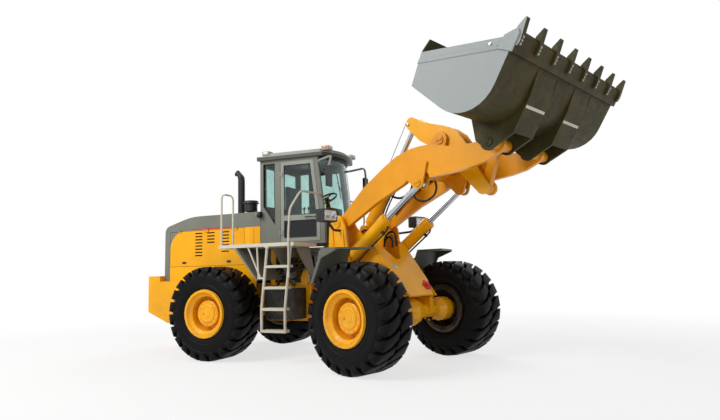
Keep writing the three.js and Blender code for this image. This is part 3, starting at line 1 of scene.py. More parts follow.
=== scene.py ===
"""Looks of the articulated wheel loader: finishes, tyre tread, glass, lamps, hoses, bolts, seat and studio."""

import json
import math

import bpy
from mathutils import Matrix, Vector


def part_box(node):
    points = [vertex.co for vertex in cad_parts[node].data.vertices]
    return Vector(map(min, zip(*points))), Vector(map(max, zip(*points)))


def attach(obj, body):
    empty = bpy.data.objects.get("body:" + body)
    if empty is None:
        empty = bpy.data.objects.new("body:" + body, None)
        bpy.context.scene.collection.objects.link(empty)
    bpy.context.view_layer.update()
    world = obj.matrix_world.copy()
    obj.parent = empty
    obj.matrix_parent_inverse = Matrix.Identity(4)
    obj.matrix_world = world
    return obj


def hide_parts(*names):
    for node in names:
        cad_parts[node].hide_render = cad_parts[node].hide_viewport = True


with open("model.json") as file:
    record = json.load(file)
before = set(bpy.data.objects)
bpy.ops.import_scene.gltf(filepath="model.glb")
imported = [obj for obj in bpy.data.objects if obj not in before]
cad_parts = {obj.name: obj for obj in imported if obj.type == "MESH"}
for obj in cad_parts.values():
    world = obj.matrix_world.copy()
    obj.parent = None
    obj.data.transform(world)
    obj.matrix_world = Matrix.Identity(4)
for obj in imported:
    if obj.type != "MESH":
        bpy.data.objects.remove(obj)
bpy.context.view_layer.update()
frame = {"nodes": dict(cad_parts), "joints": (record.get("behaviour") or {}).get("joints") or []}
NODES = frame["nodes"]
JOINTS = {joint["name"]: joint for joint in frame["joints"]}
SIDES = (("right", -1), ("left", 1))
ENDS = ("front", "rear")

bl_info = {
    "name": "Wheel loader looks",
    "version": (1, 0, 0),
    "blender": (4, 5, 0),
    "location": "3D View > Sidebar > Loader",
    "description": "Adds the finishes and small pieces of an articulated wheel loader",
    "category": "Object",
}


# ---------------------------------------------------------------- places that come from the frame
def joint_at(name):
    """Point on a joint's axis, at rest."""
    return Vector(JOINTS[name]["pos_m"])


ORIGIN = joint_at("articulation")
ORIGIN.z = 0
WHEEL_AXIS = Vector(JOINTS["front_right_wheel"]["axis"])
REAR = Matrix.Translation(ORIGIN)
FRONT = REAR @ Matrix.Rotation(-math.atan2(WHEEL_AXIS.x, WHEEL_AXIS.y), 4, "Z")


def in_front(point):
    """A row point in the front frame's own axes."""
    return FRONT.inverted() @ Vector(point)


BOOM_AT = in_front(joint_at("boom_lift"))
BUCKET_AT = in_front(joint_at("bucket_tilt"))
LIFT_AT = in_front(joint_at("right_lift_barrel_pivot"))
TILT_AT = in_front(joint_at("tilt_barrel_pivot"))
BOOM_RISE = math.atan2(BUCKET_AT.z - BOOM_AT.z, BUCKET_AT.x - BOOM_AT.x)


def link_frame(at, rise):
    """Frame of a linkage member: X along it, Y across the machine."""
    return FRONT @ Matrix.Translation((at.x, 0, at.z)) @ Matrix.Rotation(-rise, 4, "Y")


def slide_rise(name):
    """Rise of a cylinder above level, from the way its rod slides."""
    way = FRONT.inverted().to_3x3() @ Vector(JOINTS[name]["axis"])
    return math.atan2(way.z, way.x)


BOOM = link_frame(BOOM_AT, BOOM_RISE)
BUCKET = link_frame(BUCKET_AT, BOOM_RISE + math.radians(42.8))
LIFT = link_frame(LIFT_AT, slide_rise("right_lift_rod_slide"))
TILT = link_frame(TILT_AT, slide_rise("tilt_rod_slide"))


BUCKET_HALF = 1.476
BUCKET_FLOOR = -0.231
BODY_FRAME = {
    "chassis": REAR, "radiator_door": REAR, "right_engine_panel": REAR, "left_engine_panel": REAR,
    "front_chassis": FRONT, "boom": BOOM, "bucket": BUCKET, "tilt_barrel": TILT, "tilt_rod": TILT,
}


# ---------------------------------------------------------------- sizes and colours a user may change
class LoaderColours(bpy.types.PropertyGroup):
    yellow: bpy.props.StringProperty(name="Yellow", description="Machine yellow, sRGB hex", default="f9ae00")
    grey: bpy.props.StringProperty(name="Grey", description="Body grey, sRGB hex", default="77786e")
    roof: bpy.props.StringProperty(name="Roof", description="Roof grey, sRGB hex", default="a5a59a")
    bucket: bpy.props.StringProperty(name="Bucket", description="Bucket paint, sRGB hex", default="433e20")
    tow: bpy.props.StringProperty(name="Tow pin", description="Tow eye red, sRGB hex", default="c8201c")
    arm: bpy.props.StringProperty(name="Arms", description="Loader arm yellow, sRGB hex", default="ec9c0c")
    rail: bpy.props.StringProperty(name="Rails", description="Handrail and step grey, sRGB hex", default="c9c4b2")
    cheek: bpy.props.StringProperty(name="Cheek", description="Bucket cheek grey, sRGB hex", default="9ba19f")
    glass: bpy.props.StringProperty(name="Glass", description="Window tint, sRGB hex", default="cfe9e4")


class LoaderSizes(bpy.types.PropertyGroup):
    tread_count: bpy.props.IntProperty(
        name="Tread bars", description="Tread bars on each shoulder of a tyre", default=22, min=12)
    tread_depth: bpy.props.FloatProperty(
        name="Tread depth", description="Height of a tread bar", default=0.058, unit="LENGTH")
    glass_thickness: bpy.props.FloatProperty(
        name="Glass thickness", description="Thickness of the cab glass", default=0.006, unit="LENGTH")
    hose_radius: bpy.props.FloatProperty(
        name="Hose radius", description="Outer radius of a pressure hose", default=0.017, unit="LENGTH")
    bolt_radius: bpy.props.FloatProperty(
        name="Bolt radius", description="Radius of an ordinary bolt head", default=0.016, unit="LENGTH")


def colours():
    return bpy.context.scene.loader_colours


def sizes():
    return bpy.context.scene.loader_sizes


# ---------------------------------------------------------------- modelling helpers
def deselect():
    bpy.ops.object.select_all(action="DESELECT")


def select_only(*objects):
    deselect()
    for obj in objects:
        obj.select_set(True)
    bpy.context.view_layer.objects.active = objects[0]


def edit(mode="VERT"):
    bpy.ops.object.mode_set(mode="EDIT")
    bpy.ops.mesh.select_mode(type=mode)
    bpy.ops.mesh.select_all(action="SELECT")


def leave():
    bpy.ops.object.mode_set(mode="OBJECT")


def settle(obj, place=None):
    """Puts the object's place, and then a frame's, into its mesh."""
    select_only(obj)
    bpy.ops.object.transform_apply(location=True, rotation=True, scale=True)
    if place is not None:
        obj.matrix_world = place
        bpy.ops.object.transform_apply(location=True, rotation=True, scale=True)
    return obj


def tidy_faces():
    """In edit mode: merges doubles and turns every face outwards."""
    bpy.ops.mesh.select_all(action="SELECT")
    bpy.ops.mesh.remove_doubles(threshold=0.00005)
    bpy.ops.mesh.normals_make_consistent(inside=False)


def modify(obj, kind, **values):
    select_only(obj)
    modifier = obj.modifiers.new(kind.title(), kind)
    for name, value in values.items():
        setattr(modifier, name, value)
    bpy.ops.object.modifier_apply(modifier=modifier.name)


def soften(obj, width, segments=2, angle=35):
    """Rounds the sharp edges of a piece."""
    if width:
        modify(obj, "BEVEL", width=width, segments=segments, limit_method="ANGLE", angle_limit=math.radians(angle))
    select_only(obj)
    bpy.ops.object.shade_smooth_by_angle(angle=math.radians(angle))
    return obj


def draw(points):
    """Draws a line of edges through the points, from a plane merged to one vertex."""
    points = [Vector(point) for point in points]
    deselect()
    bpy.ops.mesh.primitive_plane_add(size=0.01, location=points[0])
    edit()
    bpy.ops.mesh.merge(type="CENTER")
    for here, there in zip(points, points[1:]):
        bpy.ops.mesh.extrude_region_move(TRANSFORM_OT_translate={"value": there - here})
    bpy.ops.mesh.select_all(action="SELECT")
    return bpy.context.object


def plate(points, through, bevel=0.0):
    """Flat plate: its outline drawn, filled and extruded."""
    obj = draw(points)
    bpy.ops.mesh.edge_face_add()
    bpy.ops.mesh.extrude_region_move(TRANSFORM_OT_translate={"value": Vector(through)})
    tidy_faces()
    leave()
    settle(obj)
    return soften(obj, bevel)


def side_plate(points, y0, y1, bevel=0.0):
    """Plate whose outline lies in the XZ plane."""
    return plate([(x, y0, z) for x, z in points], (0, y1 - y0, 0), bevel)


def block(one, other, bevel=0.004):
    """Bevelled block between two corners, given in any order."""
    deselect()
    low, high = (Vector(map(pick, one, other)) for pick in (min, max))
    bpy.ops.mesh.primitive_cube_add(size=1, location=(low + high) / 2, scale=high - low)
    return soften(settle(bpy.context.object), bevel)


def turned(profile, steps=48, angle=30):
    """Piece turned about Y: profile points are (radius, y)."""
    obj = draw([(r, y, 0) for r, y in profile])
    bpy.ops.mesh.spin(steps=steps, angle=2 * math.pi, center=(0, 0, 0), axis=(0, 1, 0))
    tidy_faces()
    leave()
    settle(obj)
    return soften(obj, 0, angle=angle)


def disc(radius, y0, y1, bevel=0.003, steps=36):
    """Round cap about Y from y0 to y1, with a softened rim."""
    inner = radius - bevel
    way = math.copysign(bevel, y1 - y0)
    return turned([(0, y0), (radius, y0), (radius, y1 - way), (inner, y1), (0, y1)], steps)


def along(obj, start, end):
    """Turns a piece made about +Y so that it runs from start towards end."""
    way = Vector(end) - Vector(start)
    turn = Vector((0, 1, 0)).rotation_difference(way.normalized()).to_matrix().to_4x4()
    return settle(obj, Matrix.Translation(start) @ turn)


def rod(start, end, radius, steps=16, bevel=0.002):
    length = (Vector(end) - Vector(start)).length
    return along(disc(radius, 0, length, bevel, steps), start, end)


def hose(points, radius, resolution=6):
    """Smooth tube with closed ends through the points."""
    deselect()
    bpy.ops.curve.primitive_bezier_curve_add(location=(0, 0, 0))
    obj = bpy.context.object
    spline = obj.data.splines[0]
    spline.bezier_points.add(len(points) - 2)
    for knot, point in zip(spline.bezier_points, points):
        knot.co = Vector(point)
        knot.handle_left_type = knot.handle_right_type = "AUTO"
    obj.data.bevel_depth = radius
    obj.data.bevel_resolution = 4
    obj.data.resolution_u = resolution
    obj.data.use_fill_caps = True
    bpy.ops.object.convert(target="MESH")
    edit()
    tidy_faces()
    leave()
    return soften(obj, 0, angle=60)


def bolt(radius, height=None):
    """Hexagon bolt head on its washer, standing on the origin along +Y."""
    height = height or 0.65 * radius
    washer = disc(1.25 * radius, 0, 0.2 * height, 0.0008, 16)
    deselect()
    bpy.ops.mesh.primitive_cylinder_add(
        vertices=6, radius=radius, depth=height, location=(0, 0.2 * height + height / 2, 0),
        rotation=(math.pi / 2, 0, 0))
    head = soften(settle(bpy.context.object), 0.0012, 1)
    return join([head, washer])


def join(objects):
    select_only(*objects)
    if len(objects) > 1:
        bpy.ops.object.join()
    return bpy.context.view_layer.objects.active


def copy_of(obj):
    """A copy of the piece, with its own mesh."""
    select_only(obj)
    bpy.ops.object.duplicate(linked=False)
    return bpy.context.object


def copies(obj, places):
    """Copies of the piece at each of the places, as one mesh. The piece itself goes."""
    made = [settle(copy_of(obj), place) for place in places]
    select_only(obj)
    bpy.ops.object.delete()
    return join(made)


def at(x, y, z):
    return Matrix.Translation((x, y, z))


def facing(way):
    """Turn that points +Y along a direction."""
    return Vector((0, 1, 0)).rotation_difference(Vector(way)).to_matrix().to_4x4()


def round_y(count, place, phase=0.0):
    """A place turned to a number of equal steps about Y."""
    return [Matrix.Rotation((i + phase) * 2 * math.pi / count, 4, "Y") @ place for i in range(count)]


def post(radius, length, bevel, steps, place, way):
    """Disc that stands on a place and points along a way."""
    return settle(disc(radius, 0, length, bevel, steps), at(*place) @ facing(way))


def finish_piece(obj, name, body, finish, place=None):
    """Names a piece, moves it to its place, by default in its body's frame, and gives it its finish and its body."""
    settle(obj, BODY_FRAME[body] if place is None else place)
    obj.name = name
    obj.data.name = name
    obj.data.materials.clear()
    obj.data.materials.append(FINISH[finish])
    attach(obj, body)
    return obj


# ---------------------------------------------------------------- finishes
def linear(code):
    """sRGB hex colour as linear RGBA."""
    parts = [int(code[i:i + 2], 16) / 255 for i in (0, 2, 4)]
    return [p / 12.92 if p <= 0.04045 else ((p + 0.055) / 1.055) ** 2.4 for p in parts] + [1.0]


def darker(code, share):
    return "".join(f"{round(int(code[i:i + 2], 16) * share):02x}" for i in (0, 2, 4))


def feed(tree, node, *inputs, **named):
    """Feeds a node's inputs, in order or by name: an output is linked, and a value or a hex colour is set."""
    sockets = [socket for socket in node.inputs if socket.enabled]
    by_name = {socket.name.replace(" ", "_"): socket for socket in reversed(sockets)}
    for socket, value in [*zip(sockets, inputs), *((by_name[name], value) for name, value in named.items())]:
        if isinstance(value, bpy.types.NodeSocket):
            tree.links.new(value, socket)
        else:
            socket.default_value = linear(value) if isinstance(value, str) else value


def add(tree, kind, *inputs, out=None, **named):
    """Adds a node and gives its output, the first unless out names one. Names in small letters are settings."""
    node = tree.nodes.new("ShaderNode" + kind)
    for name in [name for name in named if name.islower()]:
        setattr(node, name, named.pop(name))
    feed(tree, node, *inputs, **named)
    return next((socket for socket in node.outputs if socket.enabled and out in (None, socket.name)), None)


def new_finish(name, **constants):
    """A material with its shader's constants set, its tree, its shader and its object coordinates."""
    material = bpy.data.materials.new(name)
    material.use_nodes = True
    tree = material.node_tree
    bsdf = tree.nodes["Principled BSDF"]
    feed(tree, bsdf, **constants)
    return material, tree, bsdf, add(tree, "TexCoord", out="Object")


# How rough a soft drift of tone is.
SOFT = {"Detail": 4.0, "Roughness": 0.55}


def patches(tree, place, scale, low, high, to_low=0.0, to_high=1.0, detail=4.0, roughness=0.55, distortion=0.0):
    """Share that drifts over the surface: noise stretched from between two levels to between two others."""
    drift = add(tree, "TexNoise", place, Scale=scale, Detail=detail, Roughness=roughness, Distortion=distortion)
    return add(tree, "MapRange", drift, low, high, to_low, to_high)


def grain(tree, place, scale, detail, strength, depth, roughness=0.55):
    """Relief of a fine grain, for a shader's normal."""
    height = add(tree, "TexNoise", place, Scale=scale, Detail=detail, Roughness=roughness)
    return add(tree, "Bump", Strength=strength, Distance=depth, Height=height)


def where(tree, place, axis, operation, value):
    """One where a coordinate is over or under a value, and zero elsewhere."""
    return add(tree, "Math", add(tree, "SeparateXYZ", place, out=axis), value, operation=operation)


def within(tree, place, axis, low, high):
    return add(tree, "Math", where(tree, place, axis, "GREATER_THAN", low), where(tree, place, axis, "LESS_THAN", high),
               operation="MULTIPLY")


def across_from(tree, place, middle):
    """Distance to a plane along the machine, either side."""
    offset = add(tree, "Math", add(tree, "SeparateXYZ", place, out="Y"), middle, operation="SUBTRACT")
    return add(tree, "Math", offset, operation="ABSOLUTE")


def enamel_on_steel(name, code, roughness=0.32, coat=0.175, pattern=None):
    """Sprayed enamel: even colour with slight clouds, orange peel, road dust low down and small chips."""
    material, tree, bsdf, place = new_finish(
        name, Metallic=0.0, IOR=1.5, Coat_Weight=coat, Coat_Roughness=0.12, Specular_IOR_Level=0.25)
    clouds = patches(tree, place, 2.2, 0.3, 0.7)
    paint = add(tree, "Mix", clouds, code, darker(code, 0.93), data_type="RGBA")
    if pattern:
        paint = pattern(tree, place, paint)
    # Dust lies on what is less than 1.3 m above the ground.
    low_down = add(tree, "MapRange", add(tree, "SeparateXYZ", place, out="Z"), 1.3, 0.2)
    film = patches(tree, place, 9, 0.42, 0.75, 0.0, 0.55, 6, 0.65)
    dust = add(tree, "Math", low_down, film, operation="MULTIPLY")
    dusty = add(tree, "Mix", dust, paint, "8c7a5c", data_type="RGBA")
    dulled = add(tree, "Math", dust, 0.4, operation="MULTIPLY")
    sheen = patches(tree, place, 14, 0.3, 0.7, roughness - 0.05, roughness + 0.08)
    # Chips of about 4 mm, drawn to 12 mm so that they show.
    chips = patches(tree, place, 85, 0.735, 0.76, 0.0, 0.75, 3, 0.7)
    # Orange peel of 3 mm, drawn at 9 mm.
    feed(tree, bsdf, Base_Color=add(tree, "Mix", chips, dusty, darker(code, 0.45), data_type="RGBA"),
         Roughness=add(tree, "Math", sheen, dulled, operation="ADD"), Normal=grain(tree, place, 110, 2, 0.06, 0.001))
    return material


def deck_pattern(tree, place, grey):
    """Grey side panels under a pale deck edge and handrail."""
    deck_edge = 1.822
    return add(tree, "Mix", where(tree, place, "Z", "GREATER_THAN", deck_edge), grey, colours().rail, data_type="RGBA")


def roof_pattern(tree, place, pale):
    """Pale crown over a dark brim and underside."""
    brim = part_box("cab_roof")[0].z + 0.060
    return add(tree, "Mix", where(tree, place, "Z", "LESS_THAN", brim), pale, "43453f", data_type="RGBA")


def mirror_pattern(tree, place, black):
    """Pale goose-neck arm above a black head."""
    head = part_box("right_mirror")[0].z + 0.345
    return add(tree, "Mix", where(tree, place, "Z", "GREATER_THAN", head), black, "8d8f88", data_type="RGBA")


def cab_pattern(tree, place, grey):
    """Grey outside, dark trim inside and round the screen."""
    trim_depth = 0.030
    from_rear = add(tree, "Math", add(tree, "SeparateXYZ", place, out="X"), CAB_LOW.x, operation="SUBTRACT")
    narrowing = add(tree, "Math", from_rear, math.tan(TAPER), operation="MULTIPLY")
    skin = add(tree, "Math", CAB_HALF - trim_depth, narrowing, operation="SUBTRACT")
    inside = add(tree, "Math", across_from(tree, place, (CAB_LOW.y + CAB_HIGH.y) / 2), skin, operation="LESS_THAN")
    ahead = where(tree, place, "X", "GREATER_THAN", CAB_LOW.x + trim_depth)
    trim = add(tree, "Math", inside, ahead, operation="MULTIPLY")
    return add(tree, "Mix", trim, grey, "262825", data_type="RGBA")


def rim_with_painted_inboard_shade(end, name, side):
    """Wheel rim: yellow on the outer side, and painted shade, near black, on the side that faces the axle."""
    low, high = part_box(f"{name}_{end}_tyre")
    out_of_machine = (FRONT if end == "front" else REAR).to_3x3() @ Vector((0, side, 0))
    web = 0.045

    def pattern(tree, place, yellow):
        from_hub = add(tree, "VectorMath", place, (low + high) / 2, operation="SUBTRACT")
        outward = add(tree, "VectorMath", from_hub, out_of_machine, operation="DOT_PRODUCT")
        # Painted shade: all of the rim that lies inboard of a plane 45 mm outboard of the wheel's middle is coloured
        # near black.
        inner = add(tree, "Math", outward, web, operation="LESS_THAN")
        return add(tree, "Mix", inner, yellow, "1e1c19", data_type="RGBA")

    return enamel_on_steel(f"enamel_{name}_{end}_rim", colours().yellow, pattern=pattern)


def cheek_pattern(tree, place, olive):
    """Pale cheeks on the two ends of the bucket."""
    turned_back = add(tree, "VectorRotate", place, ORIGIN, rotation_type="Z_AXIS", Angle=-FRONT.to_euler().z)
    end = add(tree, "Math", across_from(tree, turned_back, ORIGIN.y), BUCKET_HALF - 0.0015, operation="GREATER_THAN")
    return add(tree, "Mix", end, olive, colours().cheek, data_type="RGBA")


def grey_edge(tree, place):
    """Where the engine cover and the hood round it are grey: along the top and round the upper rear corner."""
    low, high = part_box("right_engine_panel")
    radius, top_line = 0.34, 0.012
    x, z = (add(tree, "SeparateXYZ", place, out=axis) for axis in "XZ")
    back = add(tree, "Math", low.x + radius, x, operation="SUBTRACT")
    up = add(tree, "Math", z, high.z - top_line - radius, operation="SUBTRACT")
    squares = [add(tree, "Math", add(tree, "Math", run, 0, operation="MAXIMUM"), 2, operation="POWER")
               for run in (back, up)]
    reach = add(tree, "Math", add(tree, "Math", *squares, operation="ADD"), 0.5, operation="POWER")
    return add(tree, "Math", reach, radius, operation="GREATER_THAN")


def hood_pattern(tree, place, grey):
    """Grey hood with yellow sides and a red line over the louvres."""
    low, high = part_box("hood")
    cover_low, cover_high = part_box("right_engine_panel")
    across = across_from(tree, place, (low.y + high.y) / 2)
    on_side = add(tree, "Math", across, (high.y - low.y) / 2 - 0.002, operation="GREATER_THAN")
    yellow_side = add(tree, "Math", on_side, grey_edge(tree, place), operation="SUBTRACT")
    line = add(tree, "Math", within(tree, place, "Z", cover_high.z - 0.004, cover_high.z + 0.016),
               within(tree, place, "X", cover_low.x + 0.50, cover_high.x - 0.30), operation="MULTIPLY")
    stripe = add(tree, "Math", on_side, line, operation="MULTIPLY")
    two_colour = add(tree, "Mix", yellow_side, grey, colours().yellow, data_type="RGBA")
    return add(tree, "Mix", stripe, two_colour, colours().tow, data_type="RGBA")


def panel_pattern(tree, place, yellow):
    """Engine cover: yellow, with the hood's rounded grey corner."""
    return add(tree, "Mix", grey_edge(tree, place), yellow, colours().grey, data_type="RGBA")


def bucket_steel():
    """Worn olive paint over hot-rolled steel: scuffed and greyed by load, brighter where it rubs."""
    material, tree, bsdf, place = new_finish(
        "worn_paint_on_bucket_steel", Metallic=0.0, IOR=1.5, Specular_IOR_Level=0.15)
    code = colours().bucket
    clouds = add(tree, "Mix", patches(tree, place, 3, 0.35, 0.68), code, darker(code, 0.72), data_type="RGBA")
    rust = patches(tree, place, 5.5, 0.55, 0.75, 0.0, 0.4, 5)
    warm = add(tree, "Mix", rust, clouds, "6b4a2a", data_type="RGBA")
    scuffs = patches(tree, place, 60, 0.62, 0.72, 0.0, 0.5, 6, 0.75, 1.2)
    olive = add(tree, "Mix", scuffs, warm, "77735c", data_type="RGBA")
    feed(tree, bsdf, Base_Color=cheek_pattern(tree, place, olive),
         Roughness=patches(tree, place, 20, 0.3, 0.7, 0.42, 0.62), Normal=grain(tree, place, 45, 5, 0.15, 0.002, 0.6))
    return material


def vulcanised_rubber():
    """New tyre rubber: near black, dull, with a faint brown bloom and a fine mould grain."""
    material, tree, bsdf, place = new_finish("vulcanised_rubber", IOR=1.52, Specular_IOR_Level=0.1)
    bloom = patches(tree, place, 6, 0.45, 0.75, 0.0, 0.6, 5)
    base = add(tree, "Mix", bloom, "080808", "12110f", data_type="RGBA")
    dust = patches(tree, place, 38, 0.62, 0.85, 0.0, 0.2, 6, 0.7)
    feed(tree, bsdf, Base_Color=add(tree, "Mix", dust, base, "3a362c", data_type="RGBA"),
         Roughness=patches(tree, place, 11, 0.3, 0.7, 0.40, 0.58), Normal=grain(tree, place, 160, 3, 0.12, 0.001))
    return material


def moulded_black(name, code="1d1e1d", roughness=0.5):
    """Moulded black plastic: fine grain and a soft sheen."""
    material, tree, bsdf, place = new_finish(name, IOR=1.49, Specular_IOR_Level=0.4)
    clouds = add(tree, "TexNoise", place, Scale=12, **SOFT)
    # Grain of 0.5 mm, drawn at 4 mm.
    feed(tree, bsdf, Base_Color=add(tree, "Mix", clouds, code, darker(code, 0.75), data_type="RGBA"),
         Roughness=patches(tree, place, 30, 0.3, 0.7, roughness - 0.06, roughness + 0.1),
         Normal=grain(tree, place, 260, 2, 0.1, 0.0006))
    return material


def bare_metal(name, code, roughness, stretch=(1, 1, 1)):
    """Bare or plated metal with fine streaks in its gloss."""
    material, tree, bsdf, place = new_finish(name, Metallic=1.0)
    streaks = add(tree, "Mapping", place, Scale=stretch)
    tone = patches(tree, streaks, 24, 0.3, 0.7, detail=5)
    feed(tree, bsdf, Base_Color=add(tree, "Mix", tone, code, darker(code, 0.88), data_type="RGBA"),
         Roughness=patches(tree, streaks, 60, 0.3, 0.7, roughness, roughness + 0.12))
    return material


def tinted_glass():
    """Toughened cab glass, tinted pale green-blue, with smoked lower panes."""
    material, tree, bsdf, place = new_finish(
        "toughened_glass", IOR=1.45, Transmission_Weight=1.0, Roughness=0.0, Specular_IOR_Level=0.5)
    tint = colours().glass
    film = add(tree, "Mix", patches(tree, place, 3, 0.35, 0.7), tint, darker(tint, 0.95), data_type="RGBA")
    low_down = where(tree, place, "Z", "LESS_THAN", SASH_Z)
    feed(tree, bsdf, Base_Color=add(tree, "Mix", low_down, film, "3d4a49", data_type="RGBA"))
    return material


def lamp_glass(name, code):
    """Moulded lens with upright flutes."""
    material, tree, bsdf, place = new_finish(name, IOR=1.49, Roughness=0.12, Coat_Weight=0.6, Coat_Roughness=0.05)
    tone = add(tree, "TexNoise", place, Scale=30, **SOFT)
    flutes = add(tree, "TexWave", place, Scale=40.0, bands_direction="Z", out="Fac")
    feed(tree, bsdf, Base_Color=add(tree, "Mix", tone, code, darker(code, 0.86), data_type="RGBA"),
         Normal=add(tree, "Bump", Strength=0.35, Distance=0.002, Height=flutes))
    return material


def grained_vinyl():
    """Seat cover of grained vinyl: leathery cells about 2 mm wide, drawn at 5 mm."""
    material, tree, bsdf, place = new_finish("grained_vinyl", IOR=1.5, Specular_IOR_Level=0.4, Sheen_Weight=0.15)
    cells = add(tree, "TexVoronoi", place, Scale=200.0, out="Distance")
    tone = patches(tree, place, 8, 0.3, 0.7)
    feed(tree, bsdf, Base_Color=add(tree, "Mix", tone, "26282a", "1c1d1f", data_type="RGBA"),
         Roughness=patches(tree, place, 25, 0.3, 0.7, 0.45, 0.6),
         Normal=add(tree, "Bump", Strength=0.25, Distance=0.001, Height=cells))
    return material


FINISH = {}


def make_finishes():
    c = colours()
    enamels = {
        "yellow": ("enamel_yellow_on_steel", c.yellow),
        "grey": ("enamel_grey_on_steel", c.grey, 0.42, 0.075),
        "hood": ("enamel_two_colour_hood", c.grey, 0.38, 0.1, hood_pattern),
        "panel": ("enamel_engine_cover", c.yellow, 0.32, 0.175, panel_pattern),
        "arm": ("enamel_orange_yellow_on_arms", c.arm),
        "roof": ("enamel_pale_grey_roof", c.roof, 0.4, 0.1, roof_pattern),
        "lamp_grey": ("enamel_lamp_housing", c.roof, 0.4, 0.1),
        "cab": ("enamel_cab_dark_inside", c.grey, 0.4, 0.075, cab_pattern),
        "door": ("enamel_door_frame", "93948a", 0.4, 0.1),
        "deck": ("enamel_deck_and_rail", c.grey, 0.42, 0.075, deck_pattern),
        "fender": ("enamel_dark_grey_fender", "63655c", 0.45, 0.05),
        "mirror": ("mirror_head_and_arm", "1b1c1b", 0.4, 0.1, mirror_pattern),
        "steps": ("enamel_scuffed_on_steps", c.rail, 0.45, 0.05),
        "black": ("stoved_black_on_steel", "1f201e", 0.5, 0.05),
        "tow": ("enamel_red_tow_eye", c.tow, 0.35, 0.15),
        "stripe": ("enamel_white_stripe", "d8d4c4", 0.5, 0.0),
    }
    FINISH.update({key: enamel_on_steel(*values) for key, values in enamels.items()})
    FINISH.update({
        "bucket": bucket_steel(),
        "rubber": vulcanised_rubber(),
        "hose": moulded_black("wrapped_rubber_hose", "151615", 0.55),
        "plastic": moulded_black("moulded_black_plastic"),
        "chrome": bare_metal("hard_chrome_rod", "c9cdd0", 0.08, (1, 1, 12)),
        "steel": bare_metal("zinc_plated_steel", "a9a79d", 0.3),
        "plate": bare_metal("stamped_aluminium_plate", "b9bab6", 0.38),
        "core": bare_metal("radiator_core_fins", "3a3a38", 0.5, (1, 60, 1)),
        "glass": tinted_glass(),
        "lens": lamp_glass("clear_lamp_lens", "e4e2da"),
        "amber": lamp_glass("amber_lamp_lens", "e2571a"),
        "red_lens": lamp_glass("red_lamp_lens", "b01712"),
        "vinyl": grained_vinyl(),
    })
    for end in ENDS:
        for name, side in SIDES:
            FINISH[f"{name}_{end}_rim"] = rim_with_painted_inboard_shade(end, name, side)


# Which finish each carried-over node wears; the rest are yellow.
NODE_FINISH = {
    "hood": "hood", "radiator_door": "grey", "cab_shell": "cab", "cab_roof": "roof", "boom": "arm",
    "bucket_link": "arm", "engine": "black", "transmission": "black", "exhaust_pipe": "black", "air_intake": "plastic",
    "steering_wheel": "plastic", "tilt_rod": "chrome", "bucket": "bucket", "cutting_edge": "bucket", "seat": "vinyl",
}
SIDE_FINISH = {
    "engine_panel": "panel", "platform": "deck", "tank": "black", "ladder": "steps", "front_handrail": "steps",
    "cab_door": "door", "mirror": "mirror", "front_fender": "fender", "headlamp": "plastic",
    "lift_rod": "chrome", "steering_rod": "chrome",
}


class LOADER_OT_finishes(bpy.types.Operator):
    """Gives every carried-over node its painted, plated or moulded finish"""

    bl_idname = "loader.finishes"
    bl_label = "Finishes"

    def execute(self, context):
        make_finishes()
        for name, obj in NODES.items():
            tail = name.split("_", 1)[1] if name.startswith(("right_", "left_")) else name
            finish = FINISH[NODE_FINISH.get(name) or SIDE_FINISH.get(tail) or (name if name in FINISH else "yellow")]
            for slot in obj.material_slots:
                slot.material = finish
        return {"FINISHED"}


# ---------------------------------------------------------------- wheels
def strip(stations, radius_at=0.77):
    """Bar laid along stations (radius, y, way round, half width), from a grid whose rows are moved there."""
    deselect()
    bpy.ops.mesh.primitive_grid_add(x_subdivisions=1, y_subdivisions=len(stations) - 1, size=1)
    obj = bpy.context.object
    rows = sorted({round(v.co.y, 5) for v in obj.data.vertices})
    for vertex in obj.data.vertices:
        radius, y, round_way, half = stations[rows.index(round(vertex.co.y, 5))]
        angle = (round_way + math.copysign(half, vertex.co.x)) / radius_at
        vertex.co = (radius * math.sin(angle), y, radius * math.cos(angle))
    return obj


def tread_bar(depth):
    """One bar of the tread, from low on the shoulder to the middle of the crown."""
    obj = strip([
        (0.622, 0.2885, -0.030, 0.044), (0.690, 0.2875, -0.022, 0.066), (0.742, 0.278, -0.012, 0.079),
        (0.764, 0.252, -0.004, 0.082), (0.7715, 0.195, 0.010, 0.082), (0.7718, 0.110, 0.055, 0.077),
        (0.7718, 0.008, 0.135, 0.060),
    ])
    edit()
    bpy.ops.mesh.normals_make_consistent(inside=False)
    leave()
    crown = obj.data.polygons[3]
    modify(obj, "SOLIDIFY", thickness=depth, offset=-1 if crown.normal.dot(crown.center) > 0 else 1)
    edit()
    tidy_faces()
    leave()
    return soften(obj, 0.007, 2, 40)


def tyre():
    """Tyre about the wheel's centre, with its axis along Y and staggered tread bars."""
    half = [
        (0.338, 0.236), (0.346, 0.2545), (0.402, 0.2545), (0.412, 0.270), (0.436, 0.281), (0.470, 0.2855),
        (0.478, 0.2815), (0.488, 0.2875), (0.560, 0.2925), (0.602, 0.290), (0.609, 0.2845), (0.617, 0.2885),
        (0.660, 0.276), (0.686, 0.256), (0.704, 0.226), (0.712, 0.180), (0.716, 0.0),
    ]
    carcass = turned(half + [(r, -y) for r, y in reversed(half[:-1])] + [half[0]], 96, 25)
    count = sizes().tread_count
    near = tread_bar(sizes().tread_depth)
    far = copy_of(near)
    return join([carcass, copies(near, round_y(count, Matrix.Identity(4))),
                 copies(far, round_y(count, Matrix.Rotation(math.pi, 4, "Z"), 0.5))])


